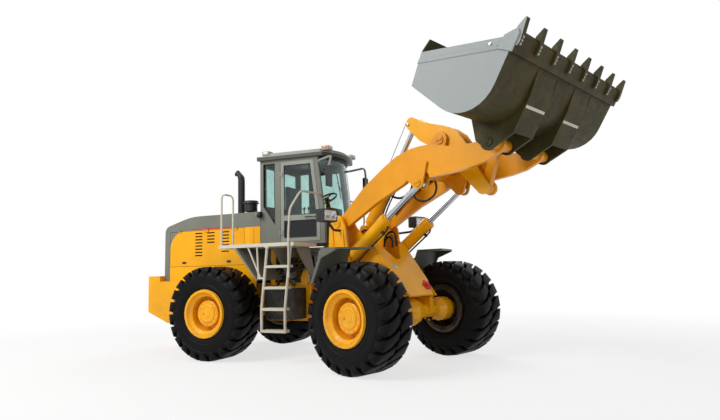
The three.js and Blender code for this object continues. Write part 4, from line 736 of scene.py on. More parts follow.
def hub():
    """Planetary cover: a raised ring, its cover bolts, a level plug and the studs round the web."""
    cover = turned([(0.0, 0.188), (0.150, 0.188), (0.150, 0.196), (0.143, 0.200), (0.118, 0.200),
                    (0.112, 0.196), (0.060, 0.196), (0.054, 0.203), (0.0, 0.203), (0.0, 0.188)])
    cap = copies(bolt(0.011), round_y(12, at(0.180, 0.188, 0)))
    studs = copies(bolt(0.016), round_y(16, at(0.252, 0.062, 0), 0.5))
    return join([cover, cap, studs, settle(disc(0.018, 0.19, 0.214, 0.003, 12), at(0.088, 0, 0))])


def lock_ring():
    return turned([(0.372, 0.2552), (0.391, 0.2552), (0.3955, 0.262), (0.3955, 0.272), (0.388, 0.2785),
                   (0.376, 0.2785), (0.369, 0.271), (0.369, 0.262), (0.372, 0.2552)], 72)


def valve():
    return join([rod((0.30, 0.16, 0), (0.335, 0.22, 0), 0.007), rod((0.335, 0.22, 0), (0.34, 0.245, 0), 0.0045)])


def wheel_place(end, name, side):
    """Frame of a wheel: at its centre, with +Y pointing out of the machine."""
    low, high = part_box(f"{name}_{end}_tyre")
    turn = FRONT.to_3x3().to_4x4() if end == "front" else Matrix.Identity(4)
    return Matrix.Translation((low + high) / 2) @ turn @ Matrix.Rotation(0 if side > 0 else math.pi, 4, "Z")


class LOADER_OT_wheels(bpy.types.Operator):
    """Models the tyres with their tread, and the hub bolts, lock rings and valves of the rims"""

    bl_idname = "loader.wheels"
    bl_label = "Wheels"

    def execute(self, context):
        masters = {"treaded_tyre": (tyre(), "rubber"), "hub_bolts": (hub(), "yellow"),
                   "lock_ring": (lock_ring(), "yellow"), "valve": (valve(), "steel")}
        for end in ENDS:
            for name, side in SIDES:
                place = wheel_place(end, name, side)
                for label, (master, finish) in masters.items():
                    piece = finish_piece(copy_of(master), f"{name}_{end}_{label}", f"{end}_{name}_wheel", finish, place)
                    if label == "treaded_tyre":
                        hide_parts(f"{name}_{end}_tyre")
        for master, _ in masters.values():
            bpy.data.objects.remove(master)
        return {"FINISHED"}


# ---------------------------------------------------------------- cab glass and fittings
CAB_LOW, CAB_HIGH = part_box("cab_shell")
CAB_REAR = CAB_LOW.x - ORIGIN.x
CAB_HALF = (CAB_HIGH.y - CAB_LOW.y) / 2
CAB_FRONT_HALF = 0.545
FLOOR_Z, EAVES_Z = CAB_LOW.z, CAB_HIGH.z
SASH_Z = 2.34
FRONT_TOP_X, LEAN = 0.010, 0.120
TAPER = math.atan2(CAB_HALF - CAB_FRONT_HALF, FRONT_TOP_X + LEAN - CAB_REAR)
DOOR_REAR = 0.400 / math.cos(TAPER)
DOOR_FRAME = 0.062
PILLAR = 0.085
SCREEN_BOW = 0.42


def front_edge(z):
    """Front edge of the cab at a height."""
    return FRONT_TOP_X + LEAN * min(1, (EAVES_Z - z) / (EAVES_Z - SASH_Z))


def along_side(x):
    return (x - CAB_REAR) / math.cos(TAPER)


def side_frame(side):
    """Frame of a cab side: X forwards along the glass from the rear corner, +Y outwards on the left."""
    return REAR @ at(CAB_REAR, side * CAB_HALF, 0) @ Matrix.Rotation(-side * TAPER, 4, "Z")


def door_opening(inset, lower):
    """Outline of a pane of the door, grown by -inset."""
    rear = DOOR_REAR + DOOR_FRAME + inset

    def ahead(z):
        return along_side(front_edge(z)) - PILLAR - DOOR_FRAME - inset

    top, bottom = EAVES_Z - 0.05 - DOOR_FRAME - inset, FLOOR_Z + 0.045 + DOOR_FRAME + inset
    if lower:
        edge = SASH_Z - 0.045 - inset
        return [(rear, bottom), (ahead(bottom), bottom), (ahead(SASH_Z), edge), (rear, edge)]
    edge = SASH_Z + 0.045 + inset
    return [(rear, edge), (ahead(SASH_Z), edge), (ahead(top), top), (rear, top)]


def rear_side_opening(inset):
    front, top = DOOR_REAR - 0.11 - inset, EAVES_Z - 0.06 - inset
    return [(0.06 + inset, 2.56 + inset), (front, 2.23 + 1.4 * inset), (front, top), (0.06 + inset, top)]


def pane(outline, side, depth):
    y = -side * depth
    return side_plate(outline, y, y - side * sizes().glass_thickness)


def seal(outline, side, depth, radius=0.011):
    """Rubber round a pane: a tube that follows its outline."""
    y = -side * depth
    points = [(x, y, z) for x, z in outline]
    return join([rod(a, b, radius, 10, 0.001) for a, b in zip(points, points[1:] + points[:1])])


def screen_row(z, inset, columns):
    """Points of the bowed windscreen at one height."""
    x = front_edge(z) - inset
    half = CAB_HALF - math.tan(TAPER) * (front_edge(z) - CAB_REAR) - 0.055
    steps = [i / columns for i in range(columns + 1)]
    return [(x + SCREEN_BOW * 2 * t * (1 - t), half * (2 * t - 1), z) for t in steps]


def windscreen():
    columns = 16
    heights = [SASH_Z - 0.075, SASH_Z, 2.7, 3.05, EAVES_Z - 0.03]
    deselect()
    bpy.ops.mesh.primitive_grid_add(x_subdivisions=columns, y_subdivisions=len(heights) - 1, size=1)
    obj = bpy.context.object
    rows = sorted({round(v.co.y, 5) for v in obj.data.vertices})
    for vertex in obj.data.vertices:
        row = rows.index(round(vertex.co.y, 5))
        column = round((vertex.co.x + 0.5) * columns)
        vertex.co = screen_row(heights[row], 0.028, columns)[column]
    edit()
    bpy.ops.mesh.normals_make_consistent(inside=False)
    leave()
    modify(obj, "SOLIDIFY", thickness=sizes().glass_thickness, offset=0)
    return soften(obj, 0, angle=30)


class LOADER_OT_cab_glass(bpy.types.Operator):
    """Models the cab's panes and the rubber round them"""

    bl_idname = "loader.cab_glass"
    bl_label = "Cab glass"

    def execute(self, context):
        finish_piece(windscreen(), "windscreen", "chassis", "glass")
        x, half, sill, top = CAB_REAR + 0.024, CAB_HALF - 0.105, 2.565, EAVES_Z - 0.10
        back = plate([(x, -half, sill), (x, half, sill), (x, half, top), (x, -half, top)],
                     (sizes().glass_thickness, 0, 0))
        finish_piece(back, "rear_screen", "chassis", "glass")
        for name, side in SIDES:
            place, door = side_frame(side), f"{name}_cab_door"
            glass = pane(rear_side_opening(-0.006), side, 0.026)
            finish_piece(glass, f"{name}_rear_side_glass", "chassis", "glass", place)
            rubber = seal(rear_side_opening(0.004), side, 0.012)
            finish_piece(rubber, f"{name}_rear_side_seal", "chassis", "hose", place)
            panes = [pane(door_opening(-0.006, lower), side, 0.018) for lower in (True, False)]
            finish_piece(join(panes), f"{name}_door_glass", door, "glass", place)
            seals = [seal(door_opening(0.004, lower), side, 0.009, 0.009) for lower in (True, False)]
            finish_piece(join(seals), f"{name}_door_seals", door, "hose", place)
            finish_piece(self.handle(side), f"{name}_door_handle", door, "plastic", place)
        return {"FINISHED"}

    def handle(self, side):
        """Pull handle with its lock barrel on the sash, near the front of the leaf."""
        x = along_side(front_edge(SASH_Z)) - PILLAR - 0.20
        y = side * 0.004
        grip = y + side * 0.026
        bow = hose([(x - 0.07, y, SASH_Z), (x - 0.055, grip, SASH_Z), (x + 0.055, grip, SASH_Z),
                    (x + 0.07, y, SASH_Z)], 0.008)
        return join([bow, post(0.014, 0.012, 0.002, 16, (x + 0.11, y, SASH_Z), (0, side, 0))])


# ---------------------------------------------------------------- lamps
class LOADER_OT_lamps(bpy.types.Operator):
    """Models the headlamps' lenses, the roof's corner lamps, the work lamps and the tail lamps"""

    bl_idname = "loader.lamps"
    bl_label = "Lamps"

    def execute(self, context):
        for name, side in SIDES:
            self.headlamp(name, side)
            self.roof_lamps(name, side)
            self.tail_lamp(name, side)
            self.work_lamp(name, side)
        return {"FINISHED"}

    def work_lamp(self, name, side):
        """Small round work lamp on a bracket, low on the rear edge of the cab side."""
        wall, y, z = side * (CAB_HALF - 0.002), side * (CAB_HALF + 0.045), 2.42
        shell = post(0.055, 0.07, 0.012, 28, (-1.045, y, z), (-1, 0, 0))
        arm = block((-1.075, wall, z - 0.025), (-1.055, y, z + 0.025))
        finish_piece(join([shell, arm]), f"{name}_work_lamp", "chassis", "plastic")
        lens = post(0.047, 0.008, 0.003, 28, (-1.115, y, z), (-1, 0, 0))
        finish_piece(lens, f"{name}_work_lens", "chassis", "lens")

    def headlamp(self, name, side):
        """Rim, lens, two bowls and a band on the headlamp's housing."""
        face, low, high = 1.090, 2.150, 2.340
        y0, y1 = sorted((side * 0.950, side * 1.230))
        rim = raised_rim((face - 0.002, y0, low), (face - 0.002, y1, high), 0.016, 0.020)
        finish_piece(rim, f"{name}_headlamp_rim", "front_chassis", "plastic")
        lens = block((face + 0.001, y0 + 0.018, low + 0.018), (face + 0.014, y1 - 0.018, high - 0.018), 0.006)
        finish_piece(lens, f"{name}_headlamp_lens", "front_chassis", "lens")
        bowl = [(0.010, 0.002), (0.052, 0.010), (0.058, 0.010), (0.058, 0.0), (0.0, 0.0), (0.0, 0.002), (0.010, 0.002)]
        place = at(face + 0.012, (y0 + y1) / 2, (low + high) / 2) @ facing((1, 0, 0))
        bowls = [settle(turned(bowl, 28), at(0, offset, 0) @ place) for offset in (-0.062, 0.062)]
        finish_piece(join(bowls), f"{name}_headlamp_bowls", "front_chassis", "chrome")
        band = block((face - 0.075, y0 - 0.004, low - 0.004), (face - 0.062, y1 + 0.004, high + 0.004))
        finish_piece(band, f"{name}_headlamp_band", "front_chassis", "plastic")

    def roof_lamps(self, name, side):
        """A housing, its lens and its side marker on the front and the rear corner of the roof."""
        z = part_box("cab_roof")[1].z
        for label, x, half, way, marker in (("front", 0.150, 0.455, 1, "amber"), ("rear", -0.985, 0.560, -1, "lens")):
            y, outer = side * half, side * (half + 0.065)
            housing = block((x - 0.075, y - 0.075, z - 0.035), (x + 0.075, y + 0.075, z + 0.045), 0.014)
            finish_piece(housing, f"{name}_{label}_roof_lamp", "chassis", "lamp_grey")
            lens = block((x + way * 0.055, y - 0.062, z - 0.010), (x + way * 0.083, y + 0.062, z + 0.034), 0.008)
            finish_piece(lens, f"{name}_{label}_roof_lens", "chassis", "lens")
            side_lens = block((x - 0.055, outer - 0.012, z - 0.008), (x + 0.045, outer + 0.012, z + 0.032), 0.006)
            finish_piece(side_lens, f"{name}_{label}_roof_marker", "chassis", marker)

    def tail_lamp(self, name, side):
        x, y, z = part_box("radiator_door")[0].x - ORIGIN.x, side * 0.548, 1.78
        rim = block((x - 0.018, y - 0.046, z - 0.12), (x + 0.02, y + 0.046, z + 0.12), 0.008)
        finish_piece(rim, f"{name}_tail_lamp", "chassis", "plastic")
        red = block((x - 0.026, y - 0.036, z - 0.02), (x - 0.01, y + 0.036, z + 0.11), 0.006)
        finish_piece(red, f"{name}_tail_lens", "chassis", "red_lens")


def raised_rim(low, high, width, depth):
    """Rectangular rim that stands forwards of a face: a plate whose middle is inset and pushed back."""
    low, high = Vector(low), Vector(high)
    obj = plate([(low.x, low.y, low.z), (low.x, high.y, low.z), (low.x, high.y, high.z), (low.x, low.y, high.z)],
                (depth, 0, 0))
    select_only(obj)
    edit("FACE")
    bpy.ops.mesh.select_all(action="DESELECT")
    leave()
    for face in obj.data.polygons:
        face.select = face.normal.x > 0.9
    bpy.ops.object.mode_set(mode="EDIT")
    bpy.ops.mesh.inset(thickness=width)
    bpy.ops.mesh.extrude_region_move(TRANSFORM_OT_translate={"value": (-0.7 * depth, 0, 0)})
    leave()
    return soften(obj, 0.003)


# ---------------------------------------------------------------- linkage fittings
def pin_cap(radius, y, side):
    """Pin end with its keeper plate and two bolts, facing away from the machine's middle."""
    face = y + side * 0.024
    cap = disc(radius, y, y + side * 0.016, 0.003, 32)
    keeper = block((-0.75 * radius, y, -0.28 * radius), (0.75 * radius, face, 0.28 * radius), 0.003)
    heads = copies(bolt(0.011), [at(way * 0.5 * radius, face, 0) @ facing((0, side, 0)) for way in (-1, 1)])
    return join([cap, keeper, heads])


def bands(places, radius):
    """Clamp bands round a barrel, at places along it."""
    inner, outer, edge = radius - 0.002, radius + 0.005, 0.016
    profile = [(inner, -edge), (outer, -edge), (radius + 0.006, 0), (outer, edge), (inner, edge), (inner, -edge)]
    return join([settle(turned(profile, 36), at(x, 0, 0) @ facing((1, 0, 0))) for x in places])


def gland(rod_radius, barrel_radius, mouth):
    """Screwed gland with its wiper ring and bolts, at the mouth of a barrel."""
    bore = rod_radius + 0.002
    ring = turned([(bore, 0), (barrel_radius, 0), (barrel_radius, 0.012), (rod_radius + 0.020, 0.018),
                   (rod_radius + 0.016, 0.030), (bore, 0.030), (bore, 0)], 36)
    heads = copies(bolt(0.010), [
        at(mouth + 0.010, 0, 0) @ Matrix.Rotation(i * math.pi / 4, 4, "X") @ at(0, 0, barrel_radius - 0.018)
        @ facing((1, 0, 0)) for i in range(8)])
    return join([settle(ring, at(mouth, 0, 0) @ facing((1, 0, 0))), heads])


class LOADER_OT_linkage_fittings(bpy.types.Operator):
    """Models pin caps, cylinder bands, glands, pipes and hoses of the loader linkage"""

    bl_idname = "loader.linkage_fittings"
    bl_label = "Linkage fittings"

    def execute(self, context):
        for name, side in SIDES:
            self.pins(name, side)
            self.lift_cylinder(name, side)
            self.hoses(name, side)
        self.tilt_cylinder()
        return {"FINISHED"}

    def pins(self, name, side):
        tower = [settle(pin_cap(radius, side * 0.650, side), at(pin.x, 0, pin.z))
                 for radius, pin in ((0.072, BOOM_AT), (0.060, LIFT_AT))]
        finish_piece(join(tower), f"{name}_tower_pins", "front_chassis", "yellow")
        for label, body, finish, radius, y, x, z in (
                ("lift", "boom", "arm", 0.058, 0.596, 1.640, 0.012),
                ("rocker", "boom", "arm", 0.066, 0.176, 1.924, 0.616),
                ("bucket", "bucket", "bucket", 0.062, 0.760, 0, 0)):
            cap = settle(pin_cap(radius, side * y, side), at(x, 0, z))
            finish_piece(cap, f"{name}_{label}_pin", body, finish)

    def lift_cylinder(self, name, side):
        place, body = LIFT @ at(0, side * 0.520, 0), f"{name}_lift_barrel"
        finish_piece(join([bands((0.16, 1.10), 0.095), gland(0.042, 0.098, 1.235)]), f"{name}_lift_bands", body,
                     "yellow", place)
        pipe = hose([(x, 0, z) for x, z in ((0.20, -0.100), (0.24, -0.130), (0.70, -0.134), (1.10, -0.134),
                                            (1.17, -0.125), (1.195, -0.098))], 0.013)
        clamps = [block((x - 0.018, -0.022, -0.150), (x + 0.018, 0.022, -0.094)) for x in (0.32, 1.06)]
        finish_piece(join([pipe] + clamps), f"{name}_lift_pipe", body, "black", place)

    def tilt_cylinder(self):
        """Bands and gland, the guide and rod of the level gauge, and the two pipes."""
        guide = block((1.05, -0.150, 0.032), (1.075, -0.100, 0.060), 0.003)
        finish_piece(join([guide, bands((0.18, 0.62, 1.02), 0.108), gland(0.045, 0.111, 1.150)]),
                     "tilt_bands", "tilt_barrel", "yellow")
        gauge = join([rod((1.86, -0.135, 0.075), (1.02, -0.135, 0.045), 0.006, 10),
                      block((1.84, -0.142, 0.02), (1.88, -0.118, 0.085), 0.002)])
        finish_piece(gauge, "level_gauge_rod", "tilt_rod", "steel")
        route = ((0.17, -0.104), (0.22, -0.142), (0.60, -0.145), (0.98, -0.145), (1.08, -0.110))
        pipes = [hose([(x, y, z) for x, z in route], 0.012) for y in (-0.03, 0.03)]
        finish_piece(join(pipes), "tilt_pipes", "tilt_barrel", "black")

    def hoses(self, name, side):
        """Pressure hoses that loop up from the front frame, and the hose and pipes along the arm."""
        radius = sizes().hose_radius
        y = side * 0.30
        outer = [(0.93, y, 1.80), (0.97, y, 1.98), (1.08, y + side * 0.02, 2.05), (1.18, y, 1.98), (1.20, y, 1.80)]
        inner = [(x, y - side * 0.06, z)
                 for x, z in ((0.98, 1.80), (1.02, 1.92), (1.10, 1.96), (1.16, 1.90), (1.16, 1.78))]
        finish_piece(join([hose(outer, radius), hose(inner, radius)]), f"{name}_frame_hoses", "front_chassis", "hose")
        slack = ((0.93, 0.30), (0.90, 0.17), (1.00, 0.06), (1.16, 0.025), (1.32, 0.10), (1.36, 0.32))
        finish_piece(hose([(x, y, z) for x, z in slack], radius), f"{name}_arm_hose", "boom", "hose")
        clipped = ((0.62, 0.235), (1.05, 0.33))
        pipes = [hose([(x, side * across, z) for x, z in ((0.30, 0.10), *clipped, (1.36, 0.36))], 0.011)
                 for across in (0.470, 0.442)]
        clips = [block((x - 0.015, side * 0.430, z - 0.02), (x + 0.015, side * 0.4795, z + 0.02), 0.003)
                 for x, z in clipped]
        finish_piece(join(pipes + clips), f"{name}_arm_pipes", "boom", "black")


# ---------------------------------------------------------------- front frame, hood and steps
class LOADER_OT_body_fittings(bpy.types.Operator):
    """Models ribs, plates, grille bars, latches, treads, braces, hoses and bolts of the body"""

    bl_idname = "loader.body_fittings"
    bl_label = "Body fittings"

    def execute(self, context):
        self.nose()
        self.radiator()
        self.roof()
        self.axles()
        for name, side in SIDES:
            self.tower_ribs(name, side)
            self.hood(name, side)
            self.ladder(name, side)
            self.deck(name, side)
            self.under_deck(name, side)
            self.mirror_glass(name, side)
        return {"FINISHED"}

    def nose(self):
        """Blank plate and tow eye on the sloping front of the frame, in axes along its slope."""
        foot, head = Vector((1.900, 0, 1.010)), Vector((1.255, 0, 1.825))
        slope = math.atan2(head.z - foot.z, head.x - foot.x)
        place = FRONT @ at(*foot) @ Matrix.Rotation(-slope, 4, "Y")
        skin = -0.030
        blank = block((0.52, -0.26, skin - 0.004), (0.62, -0.16, skin + 0.002), 0.0015)
        finish_piece(blank, "nose_blank_plate", "front_chassis", "plate", place)
        outline = ((0.10, 0.20), (0.10, 0.30), (0.19, 0.34), (0.27, 0.25), (0.19, 0.16))
        eye = plate([(x, y, skin + 0.002) for x, y in outline], (0, 0, -0.022), 0.004)
        knob = post(0.035, 0.03, 0.006, 24, (0.18, 0.25, skin - 0.018), (0, 0, -1))
        finish_piece(join([eye, knob]), "tow_eye_plate", "front_chassis", "tow", place)

    def tower_ribs(self, name, side):
        outlines = ([(0.700, 1.52), (0.735, 1.52), (0.690, 2.09), (0.655, 2.07)],
                    [(0.930, 1.55), (0.960, 1.55), (0.925, 2.07), (0.895, 2.07)])
        y0, y1 = sorted((side * 0.651, side * 0.668))
        ribs = [side_plate(outline, y0, y1, 0.003) for outline in outlines]
        finish_piece(join(ribs), f"{name}_tower_ribs", "front_chassis", "yellow")

    def hood(self, name, side):
        """Latches and louvre lining of an engine cover, and the seam ahead of it."""
        low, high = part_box("hood")
        cover_low, cover_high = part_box("right_engine_panel")
        x0, x1 = cover_low.x - ORIGIN.x, cover_high.x - ORIGIN.x
        y, cover = side * (high.y - low.y) / 2, f"{name}_engine_panel"
        latches = []
        for x in (x0 + share * (x1 - x0) for share in (0.2, 0.8)):
            latches += [block((x - 0.045, y, 1.615), (x + 0.045, y + side * 0.007, 1.655)),
                        post(0.011, 0.012, 0.002, 12, (x, y, 1.635), (0, side, 0))]
        finish_piece(join(latches), f"{name}_cover_latches", cover, "plastic")
        lining = block((x0 + 0.50, y - side * 0.030, 1.70), (x1 - 0.20, y - side * 0.034, 2.19), 0.001)
        finish_piece(lining, f"{name}_cover_lining", cover, "black")
        seam = block((x1 + 0.197, y, 1.34), (x1 + 0.203, y + side * 0.0012, 2.20), 0)
        finish_piece(seam, f"{name}_hood_seam", "chassis", "black")

    def radiator(self):
        """The core, and three columns of bars in the radiator door's openings."""
        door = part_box("radiator_door")[0] - ORIGIN
        width, pitch = 0.275, 0.303
        bars = [block((door.x + 0.018, left + 0.01, z), (door.x + 0.030, left + width - 0.01, z + 0.012), 0.002)
                for left in (door.y + 0.065 + column * pitch for column in range(3))
                for z in (1.54 + 0.032 * row for row in range(17))]
        finish_piece(join(bars), "grille_bars", "radiator_door", "black")
        core = block((door.x + 0.060, -0.46, 1.50), (door.x + 0.085, 0.46, 2.09), 0.003)
        finish_piece(core, "radiator_core", "chassis", "core")

    def ladder(self, name, side):
        """Studs on the rungs, and the braces that hold the deck behind the ladder."""
        rungs = ((1.510, -0.083), (1.180, -0.115), (0.850, -0.150), (0.515, -0.150))
        places = [at(x - 0.045 - i * 0.0425, side * 1.292, z + 0.0202) for z, x in rungs for i in range(9)]
        stud = settle(disc(0.013, 0, 0.004, 0.0015, 12), facing((0, 0, 1)))
        finish_piece(copies(stud, places), f"{name}_rung_studs", "chassis", "steps")
        y, deck, foot = side * 1.34, 1.828, 1.330
        braces = [rod((x0, y, z0), (x1, y, foot), 0.015)
                  for x0, z0, x1 in ((-0.665, deck, -0.640), (-0.840, deck, -0.600), (-0.655, foot, -0.505))]
        finish_piece(join(braces), f"{name}_deck_brace", "chassis", "steps")

    def deck(self, name, side):
        """Raised tread of crossed bars on the platform."""
        places = [
            at(-1.34 + row * 0.0575, side * (0.74 + column * 0.078), 1.8795)
            @ Matrix.Rotation(math.radians(45 if (row + column) % 2 else -45), 4, "Z")
            for row in range(23) for column in range(8)]
        raised = block((-0.017, -0.0045, 0), (0.017, 0.0045, 0.004), 0.0015)
        finish_piece(copies(raised, places), f"{name}_deck_tread", "chassis", "grey")

    def under_deck(self, name, side):
        """Hose runs, valve block and filter between the ladder and the frame."""
        y = side * 0.47
        runs = [hose([(-0.86, y + side * d, 1.20 + d), (-0.70, y + side * (0.04 + d), 1.34 + 2 * d),
                      (-0.50, y + side * (0.05 + d), 1.30 + 2.5 * d), (-0.34, y + side * d, 1.48 + d),
                      (-0.30, y - side * 0.02, 1.72)], 0.018) for d in (0.0, 0.05, 0.10)]
        finish_piece(join(runs), f"{name}_deck_hoses", "chassis", "hose")
        face = y + side * 0.12
        valves = [block((-0.62, y, 1.50), (-0.42, face, 1.66), 0.012),
                  post(0.062, 0.24, 0.016, 28, (-0.76, y + side * 0.08, 1.48), (0, 0, 1)),
                  block((-0.90, side * 0.30, 1.455), (-0.28, side * 0.60, 1.485), 0.006)]
        valves += [post(0.020, 0.05, 0.005, 16, (-0.58 + 0.045 * i, face, 1.58), (0, side, 0)) for i in range(4)]
        finish_piece(join(valves), f"{name}_valve_block", "chassis", "black")

    def roof(self):
        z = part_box("cab_roof")[1].z
        hatch = block((-0.72, -0.30, z - 0.004), (-0.22, 0.30, z + 0.030), 0.018)
        finish_piece(hatch, "roof_hatch", "chassis", "roof")
        arm = hose([(0.235, 0.05, 2.33), (0.262, 0.03, 2.50), (0.215, -0.10, 2.83), (0.175, -0.14, 2.95)], 0.007)
        blade = rod((0.232, -0.125, 2.66), (0.165, -0.15, 3.12), 0.009, 10)
        finish_piece(join([arm, blade]), "screen_wiper", "chassis", "plastic")

    def mirror_glass(self, name, side):
        face = block((0.294, side * 0.662, 2.815), (0.3005, side * 0.798, 3.12), 0.002)
        finish_piece(face, f"{name}_mirror_glass", "chassis", "chrome")

    def axles(self):
        """Bolt circles on the differential and the brake housings of both axles."""
        for end, body in (("front", "front_chassis"), ("rear", "chassis")):
            tyres = (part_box(f"right_{end}_tyre")[0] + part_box(f"left_{end}_tyre")[1]) / 2
            centre = BODY_FRAME[body].inverted() @ tyres
            circles = [
                copies(bolt(0.012), [at(centre.x, 0, centre.z) @ turn for turn in round_y(
                    count, at(radius, side * y, 0) @ facing((0, side, 0)))])
                for side in (-1, 1) for radius, y, count in ((0.158, 0.480, 12), (0.178, 0.118, 14))]
            finish_piece(join(circles), f"{end}_axle_bolts", body, "yellow")


# ---------------------------------------------------------------- bucket details
class LOADER_OT_bucket_details(bpy.types.Operator):
    """Models the tooth bolts, wear strips, weld beads and white marks of the bucket"""

    bl_idname = "loader.bucket_details"
    bl_label = "Bucket details"

    def execute(self, context):
        self.bolts()
        stripes, beads = [], []
        for side in (-1, 1):
            y0, y1 = sorted((side * 0.275, side * 0.745))
            stripes.append(block((0.535, y0, BUCKET_FLOOR - 0.0422), (0.572, y1, BUCKET_FLOOR - 0.0395), 0.0008))
            beads += [rod((0.70, y, BUCKET_FLOOR - 0.036), (0.99, y, BUCKET_FLOOR + 0.002), 0.006, 8)
                      for y in (y0 - 0.02, y1 + 0.02)]
            y = side * (BUCKET_HALF + 0.001)
            edge_strip = [(0.547, 0.917), (0.594, 0.917), (1.032, -0.070), (0.994, -0.103)]
            beads.append(side_plate(edge_strip, y, y + side * 0.007, 0.002))
        finish_piece(join(stripes), "white_marks", "bucket", "stripe")
        finish_piece(join(beads), "bucket_beads", "bucket", "bucket")
        return {"FINISHED"}

    def bolts(self):
        """Three bolts under each of the eight teeth, and two on each end of the cutting edge."""
        lowest, end_tooth, teeth = BUCKET_FLOOR - 0.0763 + 0.003, BUCKET_HALF - 0.035, 8
        rows = [-end_tooth + i * 2 * end_tooth / (teeth - 1) for i in range(teeth)]
        places = [at(x, y, lowest) @ facing((0, 0, -1)) for y in rows for x in (1.115, 1.150, 1.19)]
        places += [at(x, side * (BUCKET_HALF + 0.007), z) @ facing((0, side, 0)) for side in (-1, 1)
                   for x, z in ((1.02, 0.03), (1.10, -0.12))]
        finish_piece(copies(bolt(0.014, 0.008), places), "tooth_bolts", "bucket", "steel")


# ---------------------------------------------------------------- cab inside
def pad(low, high, crown, name):
    """Foam pad: a bevelled block whose faces are crowned and whose edges draw in, with two sewn channels."""
    low, high = Vector(low), Vector(high)
    middle, size = (low + high) / 2, high - low
    deselect()
    bpy.ops.mesh.primitive_cube_add(size=1, location=middle, scale=size)
    obj = settle(bpy.context.object)
    edit()
    bpy.ops.mesh.subdivide(number_cuts=12)
    leave()
    thin = min(range(3), key=lambda axis: size[axis])
    wide = [axis for axis in range(3) if axis != thin]
    for vertex in obj.data.vertices:
        share = [2 * (vertex.co[axis] - middle[axis]) / size[axis] for axis in range(3)]
        fill = (1 - share[wide[0]] ** 2) * (1 - share[wide[1]] ** 2)
        channel = math.exp(-((abs(share[1]) - 0.55) / 0.06) ** 2)
        edge = 1 - 0.16 * (share[wide[0]] ** 8 + share[wide[1]] ** 8)
        vertex.co[thin] = middle[thin] + (vertex.co[thin] - middle[thin]) * edge * (1 + crown * fill - 0.10 * channel)
        for axis, cross in (wide, wide[::-1]):
            vertex.co[axis] -= (vertex.co[axis] - middle[axis]) * 0.04 * (1 - share[cross] ** 2)
    modify(obj, "BEVEL", width=0.012, segments=3, limit_method="ANGLE", angle_limit=math.radians(40))
    modify(obj, "SUBSURF", levels=1, render_levels=1)
    select_only(obj)
    bpy.ops.object.shade_smooth()
    finish_piece(obj, name, "chassis", "vinyl")


class LOADER_OT_cab_inside(bpy.types.Operator):
    """Models the driver's seat, the dash and the levers"""

    bl_idname = "loader.cab_inside"
    bl_label = "Cab inside"

    def execute(self, context):
        pad((-0.80, -0.235, 2.262), (-0.34, 0.235, 2.370), 0.06, "seat_cushion")
        pad((-0.858, -0.225, 2.345), (-0.752, 0.225, 2.950), 0.10, "seat_back")
        base = join([block((-0.74, -0.18, FLOOR_Z + 0.042), (-0.50, 0.18, 2.12), 0.012),
                     block((-0.77, -0.20, 2.12), (-0.46, 0.20, 2.255), 0.02)])
        finish_piece(base, "seat_base", "chassis", "plastic")
        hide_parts("seat")
        consoles = [block((-0.55, side * 0.30, FLOOR_Z + 0.045), (-0.20, side * 0.46, 2.36), 0.02) for _, side in SIDES]
        dash = block((-0.02, -0.22, 2.30), (0.09, 0.22, 2.52), 0.03)
        finish_piece(join([dash] + consoles), "dash_and_consoles", "chassis", "plastic")
        levers = []
        for x, y in ((-0.30, -0.36), (-0.38, -0.36), (-0.30, 0.36)):
            levers += [rod((x, y, 2.34), (x + 0.02, y, 2.50), 0.006, 8),
                       post(0.018, 0.045, 0.008, 16, (x + 0.02, y, 2.49), (0, 0, 1))]
        finish_piece(join(levers), "hand_levers", "chassis", "plastic")
        return {"FINISHED"}


# ---------------------------------------------------------------- studio
def shows_background(tree):
    """One for the camera's rays and for those that metal and glass pass on, so that they meet the white background."""
    camera, glossy, through = (add(tree, "LightPath", out=f"Is {kind} Ray")
                               for kind in ("Camera", "Glossy", "Transmission"))
    return add(tree, "Math", add(tree, "Math", camera, glossy, operation="MAXIMUM"), through, operation="MAXIMUM")


def surface(tree, kind, share, one, other):
    """Ends a tree with two shaders, the second by a share."""
    feed(tree, tree.nodes.new(kind), add(tree, "MixShader", share, one, other))


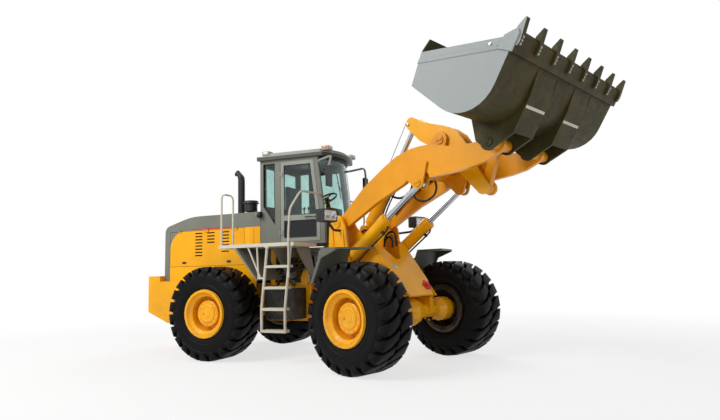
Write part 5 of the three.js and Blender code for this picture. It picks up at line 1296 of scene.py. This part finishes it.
class LOADER_OT_studio(bpy.types.Operator):
    """Adds the pale floor, the soft lamps and the camera"""

    bl_idname = "loader.studio"
    bl_label = "Studio"

    def execute(self, context):
        self.floor()
        self.world()
        self.lamp("key", (-6.0, -9.0, 9.5), (0, 0, 1.4), 1250)
        self.lamp("fill", (9.0, -7.0, 5.0), (0.5, 0, 1.6), 160)
        self.lamp("rim", (-3.0, 8.0, 8.0), (0, 0, 1.6), 420)
        self.camera()
        context.scene.view_settings.view_transform = "Standard"
        return {"FINISHED"}

    def floor(self):
        """Pale paper that keeps the shadow near the machine and fades to white away from it."""
        deselect()
        bpy.ops.mesh.primitive_circle_add(vertices=96, radius=60, fill_type="NGON")
        floor = bpy.context.object
        floor.name = "studio_floor"
        material = bpy.data.materials.new("pale_studio_floor")
        material.use_nodes = True
        tree = material.node_tree
        tree.nodes.clear()
        place = add(tree, "TexCoord", out="Object")
        tone = add(tree, "Mix", add(tree, "TexNoise", place, Scale=0.8, **SOFT), "e8e8e6", "e3e3e1", data_type="RGBA")
        distance = add(tree, "VectorMath", place, operation="LENGTH")
        fade = add(tree, "MapRange", distance, 5.0, 11.0, 0.70, 1.0)
        share = add(tree, "Math", fade, shows_background(tree), operation="MULTIPLY")
        surface(tree, "ShaderNodeOutputMaterial", share, add(tree, "BsdfDiffuse", tone),
                add(tree, "Emission", "ffffff", 1.0))
        floor.data.materials.append(material)

    def world(self):
        """Soft air for the machine, and plain white behind it."""
        world = bpy.data.worlds.new("studio_air")
        bpy.context.scene.world = world
        world.use_nodes = True
        tree = world.node_tree
        tree.nodes.clear()
        surface(tree, "ShaderNodeOutputWorld", shows_background(tree), add(tree, "Background", "f4f6fa", 0.44),
                add(tree, "Background", "ffffff", 1.0))

    def lamp(self, name, place, target, power):
        deselect()
        bpy.ops.object.light_add(type="AREA", location=place)
        lamp = bpy.context.object
        lamp.name = f"studio_{name}"
        lamp.data.size = 6.0
        lamp.data.energy = power
        lamp.rotation_euler = (Vector(target) - Vector(place)).to_track_quat("-Z", "Y").to_euler()

    def camera(self):
        """Camera low on the machine's right, a little ahead of square, looking slightly up."""
        heading, pitch, roll = (math.radians(angle) for angle in (24.68, 6.264, -1.363))
        stand = Vector((4.5174, -8.6303, 1.4146))
        way = Vector((-math.sin(heading) * math.cos(pitch), math.cos(heading) * math.cos(pitch), math.sin(pitch)))
        level = way.cross(Vector((0, 0, 1))).normalized()
        up = level.cross(way)
        right = math.cos(roll) * level + math.sin(roll) * up
        top = right.cross(way)
        deselect()
        bpy.ops.object.camera_add()
        camera = bpy.context.object
        camera.name = "studio_camera"
        turn = Matrix((right, top, -way)).transposed()
        camera.matrix_world = Matrix.Translation(ORIGIN + stand) @ turn.to_4x4()
        camera.data.sensor_width = 36.0
        camera.data.lens = 27.624
        camera.data.shift_x = -0.00136
        bpy.context.scene.camera = camera


class LOADER_PT_panel(bpy.types.Panel):
    """Lists the loader's pieces"""

    bl_idname = "LOADER_PT_panel"
    bl_label = "Wheel loader"
    bl_space_type = "VIEW_3D"
    bl_region_type = "UI"
    bl_category = "Loader"

    def draw(self, context):
        for operator in OPERATORS:
            self.layout.operator(operator.bl_idname)


OPERATORS = (
    LOADER_OT_finishes, LOADER_OT_wheels, LOADER_OT_cab_glass, LOADER_OT_lamps, LOADER_OT_linkage_fittings,
    LOADER_OT_body_fittings, LOADER_OT_bucket_details, LOADER_OT_cab_inside, LOADER_OT_studio,
)
CLASSES = (LoaderColours, LoaderSizes) + OPERATORS + (LOADER_PT_panel,)


def register():
    for cls in CLASSES:
        bpy.utils.register_class(cls)
    bpy.types.Scene.loader_colours = bpy.props.PointerProperty(type=LoaderColours)
    bpy.types.Scene.loader_sizes = bpy.props.PointerProperty(type=LoaderSizes)


def unregister():
    del bpy.types.Scene.loader_colours
    del bpy.types.Scene.loader_sizes
    for cls in reversed(CLASSES):
        bpy.utils.unregister_class(cls)


def main():
    register()
    for operator in OPERATORS:
        group, name = operator.bl_idname.split(".")
        getattr(getattr(bpy.ops, group), name)()


if __name__ == "__main__":
    main()
